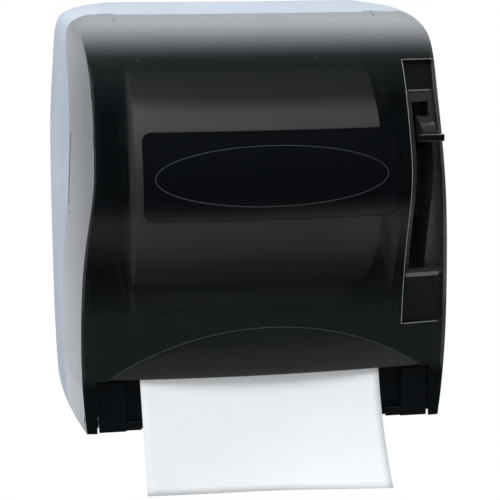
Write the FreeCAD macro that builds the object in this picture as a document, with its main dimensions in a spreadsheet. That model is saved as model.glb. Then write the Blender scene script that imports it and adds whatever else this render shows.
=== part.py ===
import FreeCAD, Part
import math
import os

import Sketcher

# Lever roll-towel dispenser.
# Frame: the wall is the plane Y = 0, the user stands at -Y, +X is to the right, +Z is up,
# and Z = 0 is the middle of the case. All sizes are millimetres and degrees.

Vector = FreeCAD.Vector
UP = Vector(0, 0, 1)
ALONG_X = Vector(1, 0, 0)

doc = FreeCAD.newDocument("LeverTowelDispenser")

SIZES = (
    # room in the case round the towel roll
    ("left_bay", 63.0),
    ("right_bay", 71.8),
    ("roll_back_gap", 17.0),
    ("front_bay", 36.0),
    ("top_bay", 45.5),
    ("works_bay", 101.5),
    # case
    ("wall", 2.8),
    ("bow_radius", 1186.0),
    ("seam_gap", 0.6),
    ("rib_height", 5.0),
    # wall screws
    ("mount_clearance", 4.6),
    ("mount_height", 230.0),
    ("mount_hole_radius", 2.75),
    ("mount_boss_radius", 9.0),
    # window panel and oval on the cover
    ("window_margin", 1.4),
    ("window_height", 70.7),
    ("window_above_roll", 19.7),
    ("window_corner", 8.0),
    ("window_recess", 0.8),
    ("oval_margin", 10.5),
    ("oval_height", 46.0),
    ("oval_recess", 1.5),
    # finger scoop at the lower lip
    ("scoop_half_width", 113.0),
    ("scoop_rise", 30.0),
    ("scoop_height", 43.5),
    ("scoop_depth", 5.0),
    # opening for the feet and the towel
    ("cutout_side", 26.9),
    ("lip_below_tear", 0.5),
    # notch for the lever
    ("notch_inset", 55.0),
    ("notch_top_inset", 38.5),
    ("notch_bottom_inset", 86.5),
    # cover hinge
    ("hinge_setback", 8.0),
    ("hinge_height", 13.5),
    ("hinge_pin_radius", 3.0),
    ("knuckle_radius", 7.0),
    # towel roll
    ("roll_width", 203.2),
    ("roll_radius", 98.0),
    ("core_radius", 22.0),
    ("core_wall", 2.0),
    ("hub_reach", 9.0),
    ("hub_clearance", 1.0),
    # side frames
    ("frame_thickness", 4.0),
    ("frame_clearance", 1.4),
    ("roll_arm_gap", 11.4),
    ("flange_width", 18.0),
    ("screw_radius", 2.0),
    # lever
    ("lever_behind_roll", 15.0),
    ("lever_below_roll", 6.0),
    ("lever_shaft_radius", 4.5),
    ("lever_hub_radius", 12.0),
    ("lever_side_gap", 7.0),
    ("lever_width", 12.0),
    ("grip_setback", 1.0),
    ("lever_rest_angle", 20.0),
    ("lever_travel", 40.0),
    ("grip_width", 21.2),
    ("grip_thickness", 5.6),
    # gears
    ("gear_module", 1.5),
    ("sector_full_teeth", 173.0),
    ("pinion_teeth", 20.0),
    ("gear_width", 4.0),
    ("gear_backlash", 0.22),
    ("feed_angle", 38.3),
    # feed and pressure rollers
    ("feed_radius", 16.0),
    ("feed_core_radius", 11.5),
    ("feed_shaft_radius", 4.0),
    ("tyre_width", 34.0),
    ("bush_radius", 7.0),
    ("pressure_radius", 9.0),
    ("pressure_shaft_radius", 2.5),
    ("arm_plate", 2.0),
    ("arm_pin_radius", 2.0),
    # towel web and sheet
    ("web_thickness", 0.4),
    ("web_gap", 0.3),
    ("web_exit_angle", 35.0),
    ("sheet_hang", 68.5),
    ("sheet_lead", 13.0),
    # tear bar
    ("tear_reach", 34.5),
    ("tear_bar_thickness", 1.2),
    ("tear_bar_depth", 12.0),
    ("tear_tooth", 6.0),
    # feet and lower tray
    ("foot_width", 22.6),
    ("foot_clearance", 1.5),
    ("foot_lead", 0.4),
    ("foot_depth", 59.0),
    ("foot_gap", 3.0),
    ("foot_wall", 2.5),
    # latches
    ("latch_inset", 54.0),
    ("latch_shift", -6.0),
    ("latch_tab_width", 8.0),
    ("latch_travel", 4.0),
    ("latch_plate", 2.0),
    # general
    ("fit", 0.05),
    ("running_gap", 0.4),
)

sheet = doc.addObject("Spreadsheet::Sheet", "Sizes")
for row, (size_name, size_value) in enumerate(SIZES, start=1):
    sheet.set("A%d" % row, size_name)
    sheet.set("B%d" % row, str(size_value))
    sheet.setAlias("B%d" % row, size_name)
doc.recompute()


class Sizes:
    """The sheet's values by name."""

    def __getattr__(self, name):
        return float(sheet.get(name))


size = Sizes()
parts = []


# ---------------------------------------------------------------- helpers

def keep(label, feature):
    """Registers a finished sub-part under its node name."""
    feature.Label = label
    parts.append(feature)
    return feature


def shape_part(label, shape):
    """A sub-part whose shape is computed from the sheet's values."""
    feature = doc.addObject("Part::Feature", label)
    feature.Shape = shape
    feature.Placement = shape.Placement
    return keep(label, feature)


def rod(name, radius, length, x, y, z):
    """Round bar along +X from x; radius and length are expressions on the sheet."""
    bar = doc.addObject("Part::Cylinder", name)
    bar.setExpression("Radius", radius)
    bar.setExpression("Height", length)
    bar.Placement = FreeCAD.Placement(Vector(x, y, z), FreeCAD.Rotation(Vector(0, 1, 0), 90))
    return bar


def box_between(low, high):
    """Plain box between two corners."""
    span = high - low
    return Part.makeBox(span.x, span.y, span.z, low)


def disc(radius, x_start, x_end, y, z):
    """Cylinder along X between two stations."""
    return Part.makeCylinder(radius, x_end - x_start, Vector(x_start, y, z), ALONG_X)


def side_polygon(points, x_start, x_end, corner=0.0):
    """Plate along X whose side view is a polygon of (y, z) points with rounded corners."""
    edges = rounded_edges([Vector(x_start, y, z) for y, z in points], corner)
    face = Part.Face(Part.Wire(edges))
    return face.extrude(Vector(x_end - x_start, 0, 0))


def rounded_edges(corners, radius):
    """Lines and arcs of a closed polygon; each corner takes at most 0.45 of its shorter side."""
    cuts = []
    count = len(corners)
    for index, corner in enumerate(corners):
        before = corners[index - 1] - corner
        after = corners[(index + 1) % count] - corner
        half_turn = before.getAngle(after) / 2
        room = 0.45 * min(before.Length, after.Length)
        setback = min(radius / math.tan(half_turn), room)
        bulge = setback / math.cos(half_turn) - setback * math.tan(half_turn)
        middle = (before.normalize() + after.normalize()).normalize()
        cuts.append((corner + before * setback, corner + middle * bulge, corner + after * setback))
    edges = []
    for index, (start, middle, end) in enumerate(cuts):
        if radius > 0 and (end - start).Length > 0.01:
            edges.append(Part.Arc(start, middle, end).toShape())
        following = cuts[(index + 1) % count][0]
        if (following - end).Length > 0.001:
            edges.append(Part.LineSegment(end, following).toShape())
    return edges


def turned(y, z, angle):
    """Direction in the side view, measured from straight down towards the front."""
    return y - math.sin(math.radians(angle)), z - math.cos(math.radians(angle))


# ---------------------------------------------------------------- main places

def from_angle(y, z, distance, angle):
    """Point at a distance from (y, z), the angle from straight down towards the front."""
    unit_y, unit_z = turned(0.0, 0.0, angle)
    return y + distance * unit_y, z + distance * unit_z


wall = size.wall
half_width_max = (size.left_bay + size.roll_width + size.right_bay) / 2
half_height = (size.top_bay + 2 * size.roll_radius + size.works_bay) / 2
depth = size.roll_back_gap + 2 * size.roll_radius + size.front_bay

roll_left = size.left_bay - half_width_max
roll_right = half_width_max - size.right_bay
roll_y = -size.roll_back_gap - size.roll_radius
roll_z = half_height - size.top_bay - size.roll_radius
roll_center = Vector(0, roll_y, roll_z)
right_frame_x = roll_right + size.frame_clearance
right_frame_end = right_frame_x + size.frame_thickness
left_frame_x = roll_left - size.roll_arm_gap
left_frame_end = left_frame_x + size.frame_thickness - 1.0
gear_x = right_frame_end + 1.6

lever_y = roll_y + size.lever_behind_roll
lever_z = roll_z - size.lever_below_roll
lever_center = Vector(0, lever_y, lever_z)
center_distance = size.gear_module * (size.sector_full_teeth + size.pinion_teeth) / 2 + 0.1
feed_y, feed_z = from_angle(lever_y, lever_z, center_distance, size.feed_angle)
feed_center = Vector(0, feed_y, feed_z)

exit_angle = math.radians(size.web_exit_angle)
web_step = Vector(0, -math.cos(exit_angle), -math.sin(exit_angle))
web_normal = Vector(0, -math.sin(exit_angle), math.cos(exit_angle))
web_offset = size.web_gap + size.web_thickness / 2
nip = feed_center - web_normal * (size.feed_radius + web_offset)
pressure_center = nip - web_normal * (size.pressure_radius + web_offset)
tear_tip = nip + web_step * size.tear_reach

lip_z = tear_tip.z - size.lip_below_tear
scoop_top_z = lip_z + size.scoop_height
cutout_half_width = half_width_max - size.cutout_side
foot_outer_x = cutout_half_width - size.foot_clearance
foot_inner_x = foot_outer_x - size.foot_width
foot_front_y = tear_tip.y - size.foot_lead
foot_top_z = lip_z - size.foot_gap
floor_low = -half_height + wall + 0.2
floor_high = floor_low + size.foot_wall
hinge_y = foot_front_y + size.hinge_setback
hinge_z = -half_height + size.hinge_height

notch_left = half_width_max - size.notch_inset
notch_top_z = half_height - size.notch_top_inset
notch_bottom_z = size.notch_bottom_inset - half_height
window_width = size.roll_width + 2 * size.window_margin
window_center_z = roll_z + size.window_above_roll
oval_width = window_width - 2 * size.oval_margin
lever_x = notch_left + size.lever_side_gap
lever_lean = math.radians(size.lever_rest_angle)
lever_reach = (depth - size.grip_setback + lever_y) / math.cos(lever_lean)
grip_y = lever_y - lever_reach * math.cos(lever_lean)
grip_z = lever_z + lever_reach * math.sin(lever_lean)
sheet_bottom_z = -half_height - size.sheet_hang
mount_x = right_frame_x - size.mount_boss_radius - size.mount_clearance


# ---------------------------------------------------------------- outer form of the case

# Centre-line profile from the back of the top to the bottom of the front:
# share of the case's depth, and height as a share of half the case's height.
FRONT_CURVE = (
    (0.0, 0.988),
    (0.161, 1.0),
    (0.474, 0.970),
    (0.643, 0.924),
    (0.819, 0.799),
    (0.859, 0.735),
    (0.912, 0.601),
    (0.956, 0.466),
    (1.0, 0.245),
    (0.972, 0.041),
    (0.928, -0.222),
    (0.912, -0.431),
    (0.888, -0.875),
    (0.884, -1.0),
)

# Centre line of the seam between housing and cover, from above the top to below the bottom.
SEAM_CURVE = (
    (0.474, 1.06),
    (0.474, 0.945),
    (0.510, 0.834),
    (0.586, 0.700),
    (0.655, 0.525),
    (0.695, 0.321),
    (0.695, 0.175),
    (0.679, 0.029),
    (0.639, -0.146),
    (0.598, -0.321),
    (0.570, -0.525),
    (0.562, -0.653),
    (0.554, -0.845),
    (0.558, -0.921),
    (0.570, -1.0),
    (0.584, -1.08),
)

# Half width at the wall and its loss at full depth, as shares of half the width,
# at five height levels from the top to the bottom.
SIDE_STATIONS = (
    (1.0, 0.923, 0.246),
    (0.5, 0.984, 0.234),
    (0.0, 1.0, 0.198),
    (-0.5, 1.003, 0.176),
    (-1.0, 0.994, 0.196),
)
SIDE_FLARE = 0.03
SIDE_LEVELS = (-1.15, -1.0, -0.5, 0.0, 0.5, 0.76, 0.875)

# Rounded shoulder: distance in from the side, and drop from the crown.
SHOULDER = ((2.4, 13.4), (8.5, 8.6), (22.0, 4.4), (41.0, 1.8))

crown = half_height + 0.3
BELOW = -half_height - 30
BEYOND = 400.0    # a cutting block's reach, past the part on every side
BEHIND = 60.0
BOW_SWEEP = 26.0
bow_center = Vector(0, size.bow_radius - depth, 0)


def curve_through(points):
    """Smooth curve through the points."""
    curve = Part.BSplineCurve()
    curve.interpolate(points)
    return curve


def front_points(inset, dent=0.0):
    """Points of the centre profile, moved inwards; dent pushes the scoop's lower part back."""
    points = [Vector(0, -depth * share, half_height * level) for share, level in FRONT_CURVE]
    curve = curve_through(points)
    moved = []
    for point in points:
        tangent = Vector(*curve.tangent(curve.parameter(point))[0])
        below_scoop = max(0.0, scoop_top_z - point.z) / (scoop_top_z - lip_z)
        back = dent * below_scoop
        moved.append(point + Vector(0, -tangent.z, tangent.y) * inset + Vector(0, back, 0))
    return moved


def front_y(z, inset):
    """Depth of the inset centre profile at a height on its front."""
    curve = curve_through(front_points(inset))
    low, high = curve.parameter(front_points(inset)[3]), curve.LastParameter
    for _ in range(50):
        middle = (low + high) / 2
        if curve.value(middle).z > z:
            low = middle
        else:
            high = middle
    return curve.value(low).y


def bowed(edges):
    """Sweeps a closed centre-plane outline round the axis that the front is bowed about."""
    face = Part.Face(Part.Wire(edges))
    face.rotate(bow_center, UP, -BOW_SWEEP / 2)
    return face.revolve(bow_center, UP, BOW_SWEEP)


def bowed_polygon(points):
    """Bowed ring with a polygon of (y, z) centre-plane points."""
    corners = [Vector(0, y, z) for y, z in points]
    return bowed(rounded_edges(corners, 0.0))


def front_solid(inset, dent=0.0):
    """Everything behind the front and top surface at an inset."""
    points = front_points(inset, dent)
    first, last = points[0], points[-1]
    corners = [last, Vector(0, last.y, BELOW), Vector(0, BEHIND, BELOW), Vector(0, BEHIND, first.z), first]
    edges = [curve_through(points).toShape()]
    edges += [Part.LineSegment(a, b).toShape() for a, b in zip(corners, corners[1:])]
    return bowed(edges)


def front_of_seam(shift):
    """Region in front of the seam surface, moved by a shift towards the wall."""
    points = [Vector(0, shift - depth * share, half_height * level) for share, level in SEAM_CURVE]
    first, last = points[0], points[-1]
    far = -depth - 40
    corners = [last, Vector(0, far, last.z), Vector(0, far, first.z), first]
    edges = [curve_through(points).toShape()]
    edges += [Part.LineSegment(a, b).toShape() for a, b in zip(corners, corners[1:])]
    return bowed(edges)


def half_width(y, level):
    """Half width of the case at a depth and a height level."""
    total = 0.0
    share = -y / depth
    for level_a, width_a, loss_a in SIDE_STATIONS:
        weight = 1.0
        for level_b, _, _ in SIDE_STATIONS:
            if level_b != level_a:
                weight *= (level - level_b) / (level_a - level_b)
        total += weight * (width_a - loss_a * share * share)
    return half_width_max * total - SIDE_FLARE * y


def side_section(y, inset):
    """Front-view outline of the case at one depth."""
    right = [Vector(half_width(y, level) - inset, y, half_height * level) for level in SIDE_LEVELS]
    for inwards, drop in SHOULDER:
        z = crown - drop
        right.append(Vector(half_width(y, z / half_height) - inset - inwards, y, z - inset))
    left = [Vector(-point.x, point.y, point.z) for point in reversed(right)]
    outline = right + [Vector(0, y, crown - inset)] + left
    bottom = Part.LineSegment(outline[-1], outline[0]).toShape()
    return Part.Wire([curve_through(outline).toShape(), bottom])


def side_solid(inset):
    """Everything between the sides and under the crown at an inset."""
    sections = [side_section(y, inset) for y in (2.0, -depth / 2, -1.03 * depth)]
    return Part.makeLoft(sections, True, False)


def slab(y_back, z_low):
    """Half space in front of y_back and above z_low."""
    return box_between(Vector(-BEYOND, -BEYOND, z_low), Vector(BEYOND, y_back, BEYOND))


def upright_prism(width, height, middle_z, corner):
    """Prism along Y through the front, with a rounded rectangle as its front view."""
    half = width / 2
    low, high = middle_z - height / 2, middle_z + height / 2
    start = -depth - 20
    corners = [Vector(-half, start, low), Vector(half, start, low), Vector(half, start, high),
               Vector(-half, start, high)]
    return Part.Face(Part.Wire(rounded_edges(corners, corner))).extrude(Vector(0, 100, 0))


case_sides = side_solid(0.0)
cavity_sides = side_solid(wall)
case_outer = front_solid(0.0).common(case_sides).common(slab(0.0, -half_height))
cavity = front_solid(wall).common(cavity_sides)
closed_cavity = cavity.common(slab(-wall, -half_height + wall))
open_cavity = cavity.common(slab(-wall, BELOW))


# ---------------------------------------------------------------- places of screws and plates

rear_y = -wall - 0.2
flange_thickness = 3.0
right_screw_x = right_frame_end + size.flange_width / 2
left_screw_x = left_frame_x - size.flange_width / 2
right_flange_top = lever_z + 96.0
left_flange_top = feed_z + 31.7
low_screw_rise = 24.0
low_screw_z = floor_high + low_screw_rise
right_screws = [(right_screw_x, z) for z in (right_flange_top - 18.0, lever_z - 42.0, low_screw_z)]
left_screws = [(left_screw_x, z) for z in (left_flange_top - 15.0, low_screw_z - 9.0)]
frame_screw_places = right_screws + left_screws
pilot_depth = wall - 0.8

arm_post_x = roll_left - 8.0
arm_post_y = rear_y - 9.0
arm_screw_places = [(arm_post_x, roll_z + z) for z in (-36.0, 36.0)]


# ---------------------------------------------------------------- latches

latch_z = half_height - 16.5
neck_half = 2.0
keyhole_half = neck_half + size.running_gap
head_half = 4.5
LATCH_SIDES = (("left", -1.0), ("right", 1.0))


def latch_middle(side):
    """X of a latch's hook."""
    return size.latch_shift + side * (half_width_max - size.latch_inset)


def seam_y(x):
    """Depth of the seam on the top surface at a distance from the centre."""
    center = -depth * SEAM_CURVE[0][0]
    reach = size.bow_radius - depth - center
    return bow_center.y - math.sqrt(reach * reach - x * x)


def latch_hook(side):
    """Rib under the cover's top with a headed peg that reaches back through the latch plate."""
    middle = latch_middle(side)
    seam = seam_y(middle)
    rib = box_between(Vector(middle - 5, seam - 9, latch_z - 6), Vector(middle + 5, seam - 6.5, half_height))
    neck = box_between(Vector(middle - neck_half, seam - 6.5, latch_z - neck_half),
                       Vector(middle + neck_half, seam + 4.4, latch_z + neck_half))
    head = box_between(Vector(middle - neck_half, seam + 4.4, latch_z - head_half),
                       Vector(middle + neck_half, seam + 6.9, latch_z + head_half))
    return rib.fuse(neck).fuse(head)


def latch_slot(side):
    """Gap in the housing's top edge in which the latch's thumb tab slides."""
    middle = latch_middle(side)
    seam = seam_y(middle)
    half = (size.latch_tab_width + size.latch_travel) / 2 + size.running_gap
    return box_between(Vector(middle - half, seam - 20, half_height - 12),
                       Vector(middle + half, seam + 4.6, BEYOND))


def latch_shelf(side):
    """Shelf and two posts under the housing's top that carry a latch plate."""
    middle = latch_middle(side)
    seam = seam_y(middle)
    back, front = seam + 9.0, seam + 0.8
    shelf_z = latch_z - head_half - 3.0
    shelf = box_between(Vector(middle - 15, front, shelf_z - 2), Vector(middle + 15, back, shelf_z))
    posts = [box_between(Vector(x, front, shelf_z - 2), Vector(x + 2, back, half_height))
             for x in (middle - 17, middle + 15)]
    return shelf.fuse(posts)


# ---------------------------------------------------------------- rear housing

def make_housing():
    """Wall tray: back, sides, top and floor behind the seam."""
    tray = case_outer.cut(closed_cavity).cut(front_of_seam(size.seam_gap / 2))
    inner = front_solid(wall - 0.5).common(side_solid(wall - 0.5))
    rib_front, rib_back = -wall - size.rib_height, -wall + 0.5
    rib_x = half_width_max - 29
    rib_z = size.mount_height / 2 + 20
    ribs = [box_between(Vector(x - 1, rib_front, -half_height + 1), Vector(x + 1, rib_back, half_height))
            for x in (-rib_x, rib_x)]
    ribs.append(box_between(Vector(-rib_x, rib_front, rib_z - 1), Vector(rib_x, rib_back, rib_z + 1)))
    ribs.append(box_between(Vector(left_frame_end + 1, rib_front, -rib_z - 1),
                            Vector(right_frame_x - 1, rib_back, -rib_z + 1)))
    holes = []
    for x in (-mount_x, mount_x):
        for z in (-size.mount_height / 2, size.mount_height / 2):
            ribs.append(Part.makeCylinder(size.mount_boss_radius, wall + 1.5, Vector(x, 0, z),
                                          Vector(0, -1, 0)))
            holes.append(Part.makeCylinder(size.mount_hole_radius, 40, Vector(x, 20, z), Vector(0, -1, 0)))
    for x, z in frame_screw_places + arm_screw_places:
        holes.append(Part.makeCylinder(size.screw_radius + size.fit, pilot_depth + 0.5,
                                       Vector(x, -wall - 0.5, z), Vector(0, 1, 0)))
    shelves = [latch_shelf(side) for _, side in LATCH_SIDES]
    slots = [latch_slot(side) for _, side in LATCH_SIDES]
    fittings = Part.makeCompound(ribs + shelves).common(inner).cut(front_of_seam(size.seam_gap))
    for solid in fittings.Solids:
        tray = tray.fuse(solid)
    return tray.cut(Part.makeCompound(holes + slots)).removeSplitter()


# ---------------------------------------------------------------- cover

# How far back the scoop and the towel's opening are cut, and the lever's notch.
front_cut_y = -0.6 * depth
notch_back_y = 59.0 - depth


def make_cover():
    """Smoke front with window panel, oval, finger scoop, lever notch, towel opening and hinge knuckles."""
    front_start = -depth - 20
    half, rise = size.scoop_half_width, size.scoop_rise
    arch_radius = (half * half + rise * rise) / (2 * rise)
    arch_z = scoop_top_z - arch_radius
    band = box_between(Vector(-BEYOND, front_start, lip_z - 10),
                       Vector(BEYOND, front_cut_y, scoop_top_z + 20))
    arch = Part.makeCylinder(arch_radius, 120, Vector(0, front_start, arch_z), Vector(0, 1, 0)).common(band)
    arch_pad = Part.makeCylinder(arch_radius + wall, 120, Vector(0, front_start, arch_z), Vector(0, 1, 0))
    pad = arch_pad.common(band).cut(front_solid(wall, size.scoop_depth))
    cover = case_outer.cut(open_cavity.cut(pad)).common(front_of_seam(-size.seam_gap / 2))
    cover = cover.cut(arch.cut(front_solid(0.0, size.scoop_depth)))

    window = upright_prism(window_width, size.window_height, window_center_z, size.window_corner)
    cover = cover.cut(window.cut(front_solid(size.window_recess)))
    oval_edge = Part.Ellipse(Vector(0, front_start, window_center_z), oval_width / 2, size.oval_height / 2)
    oval_edge.rotate(FreeCAD.Placement(Vector(), FreeCAD.Rotation(ALONG_X, 90), oval_edge.Center))
    oval = Part.Face(Part.Wire(oval_edge.toShape())).extrude(Vector(0, 100, 0))
    cover = cover.cut(oval.cut(front_solid(size.oval_recess)))

    notch = box_between(Vector(notch_left, front_start, notch_bottom_z),
                        Vector(BEYOND, notch_back_y, notch_top_z)).common(cavity_sides)
    opening = box_between(Vector(-cutout_half_width, front_start, BELOW),
                          Vector(cutout_half_width, front_cut_y, lip_z))
    cover = cover.cut(notch).cut(opening)

    for side in (-1, 1):
        inner, outer = cutout_half_width + 0.2, half_width(hinge_y, hinge_z / half_height) - 1
        start = min(side * inner, side * outer)
        knuckle = disc(size.knuckle_radius, start, start + outer - inner, hinge_y, hinge_z)
        bore = disc(size.hinge_pin_radius + size.fit, start - (2 if side > 0 else -1),
                    start + outer - inner + (-1 if side > 0 else 2), hinge_y, hinge_z)
        cover = cover.fuse(knuckle).cut(bore)
    for _, side in LATCH_SIDES:
        cover = cover.fuse(latch_hook(side).common(front_solid(1.0)))
    return cover.removeSplitter()


shape_part("rear_housing", make_housing())
shape_part("cover", make_cover())


# ---------------------------------------------------------------- lower tray with the feet

arm_pivot = Vector(0, hinge_y + 9.0, hinge_z + 18.0)
arm_left = roll_left + 4.5
arm_right = roll_right - 4.5
bar_start = tear_tip + web_step * 0.5
bar_drop = size.web_thickness / 2 + size.running_gap
seat_drop = bar_drop + size.tear_bar_thickness + 0.05


def strip_under_web(start_back, end_back, top_drop, bottom_drop):
    """Side-view rectangle under the web, measured back from the tear bar's tip."""
    corners = []
    for back, drop in ((start_back, top_drop), (end_back, top_drop),
                       (end_back, bottom_drop), (start_back, bottom_drop)):
        point = bar_start - web_step * back - web_normal * drop
        corners.append((point.y, point.z))
    return corners


def make_tray():
    """Floor, front wall under the tear bar, two feet with hinge bosses and lugs for the pressure arm."""
    inner, outer, skin = foot_inner_x, foot_outer_x, size.foot_wall
    front, back = foot_front_y, foot_front_y + size.foot_depth
    wall_front = front + 6.0
    floor = box_between(Vector(-outer + 1, wall_front, floor_low),
                        Vector(outer - 1, lever_y + 40, floor_high))
    front_wall = box_between(Vector(-inner - 1, wall_front, -half_height),
                             Vector(inner + 1, wall_front + skin, tear_tip.z + 0.5))
    seat = side_polygon(strip_under_web(2.0, size.tear_bar_depth + 1, seat_drop, seat_drop + 2.0),
                        roll_left - 0.5, roll_right + 0.5)
    tray = floor.fuse([front_wall, seat])
    boss_length = 6.0
    for side in (-1, 1):
        low_x, high_x = sorted((side * inner, side * outer))
        block = box_between(Vector(low_x, front, -half_height), Vector(high_x, back, foot_top_z))
        hollow = box_between(Vector(low_x + skin, front + skin, floor_high),
                             Vector(high_x - skin, back + 1, foot_top_z - skin))
        under = box_between(Vector(low_x + skin, front + skin, -half_height - 1),
                            Vector(high_x - skin, back + 1, floor_low))
        boss_low, boss_high = sorted((side * (outer - 1), side * (outer - skin - boss_length)))
        boss = disc(size.knuckle_radius, boss_low, boss_high, hinge_y, hinge_z)
        bore_low, bore_high = sorted((side * (outer + 1), side * (outer - skin - boss_length - 1)))
        bore = disc(size.hinge_pin_radius + size.fit, bore_low, bore_high, hinge_y, hinge_z)
        tray = tray.fuse(block.cut(hollow).cut(under)).fuse(boss).cut(bore)
    for x in (arm_left - 3.4, arm_right + 0.4):
        lug = side_polygon([(arm_pivot.y - 5, floor_low + 1), (arm_pivot.y + 5, floor_low + 1),
                            (arm_pivot.y + 5, arm_pivot.z + 5), (arm_pivot.y - 5, arm_pivot.z + 5)],
                           x, x + 3, 3.0)
        bore = disc(size.arm_pin_radius + size.fit, x - 1, x + 4, arm_pivot.y, arm_pivot.z)
        tray = tray.fuse(lug).cut(bore)
    return tray.removeSplitter()


shape_part("lower_tray", make_tray())


def compound(label, features):
    """Sub-part of several separate solids."""
    group = doc.addObject("Part::Compound", label)
    group.Links = features
    return keep(label, group)


pin_start = foot_outer_x - size.foot_wall - 6.0
pin_end = half_width(hinge_y, hinge_z / half_height) - wall - 0.2
pins = []
for side in (-1, 1):
    pin = rod("HingePin", "Sizes.hinge_pin_radius", "%f" % (pin_end - pin_start),
              pin_start if side > 0 else -pin_end, hinge_y, hinge_z)
    pins.append(pin)
compound("hinge_pins", pins)


# ---------------------------------------------------------------- side frames

def body_plane(body, role):
    """Origin plane of a body by its role."""
    return next(plane for plane in body.Origin.OriginFeatures if plane.Role == role)


def plane_sketch(body, name, role, offset):
    """Sketch on one of a body's origin planes, moved along the plane's normal."""
    sketch = body.newObject("Sketcher::SketchObject", name)
    sketch.AttachmentSupport = [(body_plane(body, role), "")]
    sketch.MapMode = "FlatFace"
    sketch.AttachmentOffset = FreeCAD.Placement(Vector(0, 0, offset), FreeCAD.Rotation())
    return sketch


def add_outline(sketch, points, corner):
    """Adds a closed polygon with rounded corners to a sketch."""
    for edge in rounded_edges([Vector(a, b, 0) for a, b in points], corner):
        curve = edge.Curve
        if isinstance(curve, Part.Circle):
            first, last = edge.ParameterRange
            sketch.addGeometry(Part.ArcOfCircle(curve, first, last), False)
        else:
            sketch.addGeometry(Part.LineSegment(edge.Vertexes[0].Point, edge.Vertexes[1].Point), False)


def add_bore(sketch, across, up, radius_expression, name):
    """Adds a circle whose radius follows the sheet."""
    index = sketch.addGeometry(Part.Circle(Vector(across, up, 0), UP, 5.0), False)
    constraint = sketch.addConstraint(Sketcher.Constraint("Radius", index, 5.0))
    sketch.renameConstraint(constraint, name)
    sketch.setExpression("Constraints." + name, radius_expression)


def pad_sketch(body, name, sketch, length):
    """Pads a sketch; the length is an expression."""
    pad = body.newObject("PartDesign::Pad", name)
    pad.Profile = sketch
    pad.setExpression("Length", length)
    sketch.Visibility = False
    return pad


def side_plate(label, x_start, thickness, outline, corner, bores):
    """Body: a plate in the side view with a rounded outline and round bores."""
    body = doc.addObject("PartDesign::Body", label)
    sketch = plane_sketch(body, label + "_outline", "YZ_Plane", x_start)
    add_outline(sketch, outline, corner)
    for index, (center, radius_expression) in enumerate(bores):
        add_bore(sketch, center.y, center.z, radius_expression, "bore%d" % index)
    pad_sketch(body, label + "_plate", sketch, thickness)
    return body


def add_flange(body, name, x_start, x_end, z_top, places):
    """Adds a rear flange with screw holes to a frame body."""
    sketch = plane_sketch(body, name + "_sketch", "XZ_Plane", -rear_y)
    add_outline(sketch, [(x_start, frame_low), (x_end, frame_low), (x_end, z_top), (x_start, z_top)], 0.0)
    for index, (x, z) in enumerate(places):
        add_bore(sketch, x, z, "Sizes.screw_radius + Sizes.fit", "screw%d" % index)
    pad_sketch(body, name, sketch, "%f" % flange_thickness)


frame_low = floor_high + 0.2
GUARD_INSET = 15.0
guard_skin = 2.0
guard_lip = 3.2
guard_seat = 0.2
guard_top = feed_z + 1.0
guard_low = tear_tip.z + 4.0
guard_top_y = front_y(guard_top, GUARD_INSET)
guard_low_y = front_y(guard_low, GUARD_INSET)
top_standoff = from_angle(lever_y, lever_z, 122.0, 136.0)
low_standoff = from_angle(lever_y, lever_z, 139.0, 53.8)
feed_bore = (feed_center, "Sizes.bush_radius + Sizes.fit")
front_edge = [(guard_top_y + guard_lip + guard_seat, feed_z + 12),
              (guard_top_y + guard_lip + guard_seat, guard_top - guard_skin),
              (guard_low_y + guard_skin + guard_seat, guard_low),
              (foot_front_y + 9.2, tear_tip.z + 2), (foot_front_y + 9.2, frame_low)]
right_outline = [(rear_y, frame_low), (rear_y, lever_z + 98), (lever_y + 60, lever_z + 118),
                 (lever_y - 20, lever_z + 118), (top_standoff[0], lever_z + 102),
                 (top_standoff[0] - 14, lever_z + 84), (top_standoff[0] - 14, lever_z + 70),
                 (lever_y - 46, lever_z + 40), (lever_y - 38, lever_z - 30),
                 (low_standoff[0] - 4, low_standoff[1] + 12), (low_standoff[0] - 5, low_standoff[1] - 6)]
left_outline = [(rear_y, frame_low), (rear_y, feed_z + 33.7), (feed_y + 129.8, feed_z + 33.7),
                (feed_y + 39.8, feed_z + 39.7), (feed_y - 13.2, feed_z + 29.7)]

right_frame = side_plate("right_frame", right_frame_x, "Sizes.frame_thickness",
                         right_outline + front_edge, 6.0,
                         [(lever_center, "Sizes.lever_shaft_radius + Sizes.fit"), feed_bore])
left_frame = side_plate("left_frame", left_frame_x, "Sizes.frame_thickness - 1",
                        left_outline + front_edge, 6.0, [feed_bore])
add_flange(right_frame, "right_flange", right_frame_x + 1, right_frame_end + size.flange_width,
           right_flange_top, right_screws)
add_flange(left_frame, "left_flange", left_frame_x - size.flange_width, left_frame_end - 1,
           left_flange_top, left_screws)
keep("right_frame", right_frame)
keep("left_frame", left_frame)


def screw(x, z, head_y, shank_end):
    """Pan-head screw along Y."""
    shank = Part.makeCylinder(size.screw_radius, shank_end - head_y, Vector(x, head_y, z), Vector(0, 1, 0))
    head = Part.makeCylinder(2 * size.screw_radius, 2.0, Vector(x, head_y - 2.0, z), Vector(0, 1, 0))
    return head.fuse(shank)


screw_end = -wall + pilot_depth - 0.2
frame_screws = [screw(x, z, rear_y - flange_thickness, screw_end) for x, z in frame_screw_places]


# ---------------------------------------------------------------- lever guide behind the notch

guide_gap = 0.6
guide_left = notch_left - 2.5
lever_end = lever_x + size.lever_width
bracket_x = lever_end + 1.8
bracket_end = bracket_x + 2.2
guide_top = notch_top_z - guide_gap
guide_bottom = notch_bottom_z + guide_gap
panel_top = notch_top_z - 25.0
ledge_z = notch_bottom_z + 45.0
FLUSH = wall + guide_gap
PANEL_BACK = 10.0
SKIN = 2.5
BRACKET_SETBACK = 24.0
SLOT_BACK = -190.0


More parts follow.
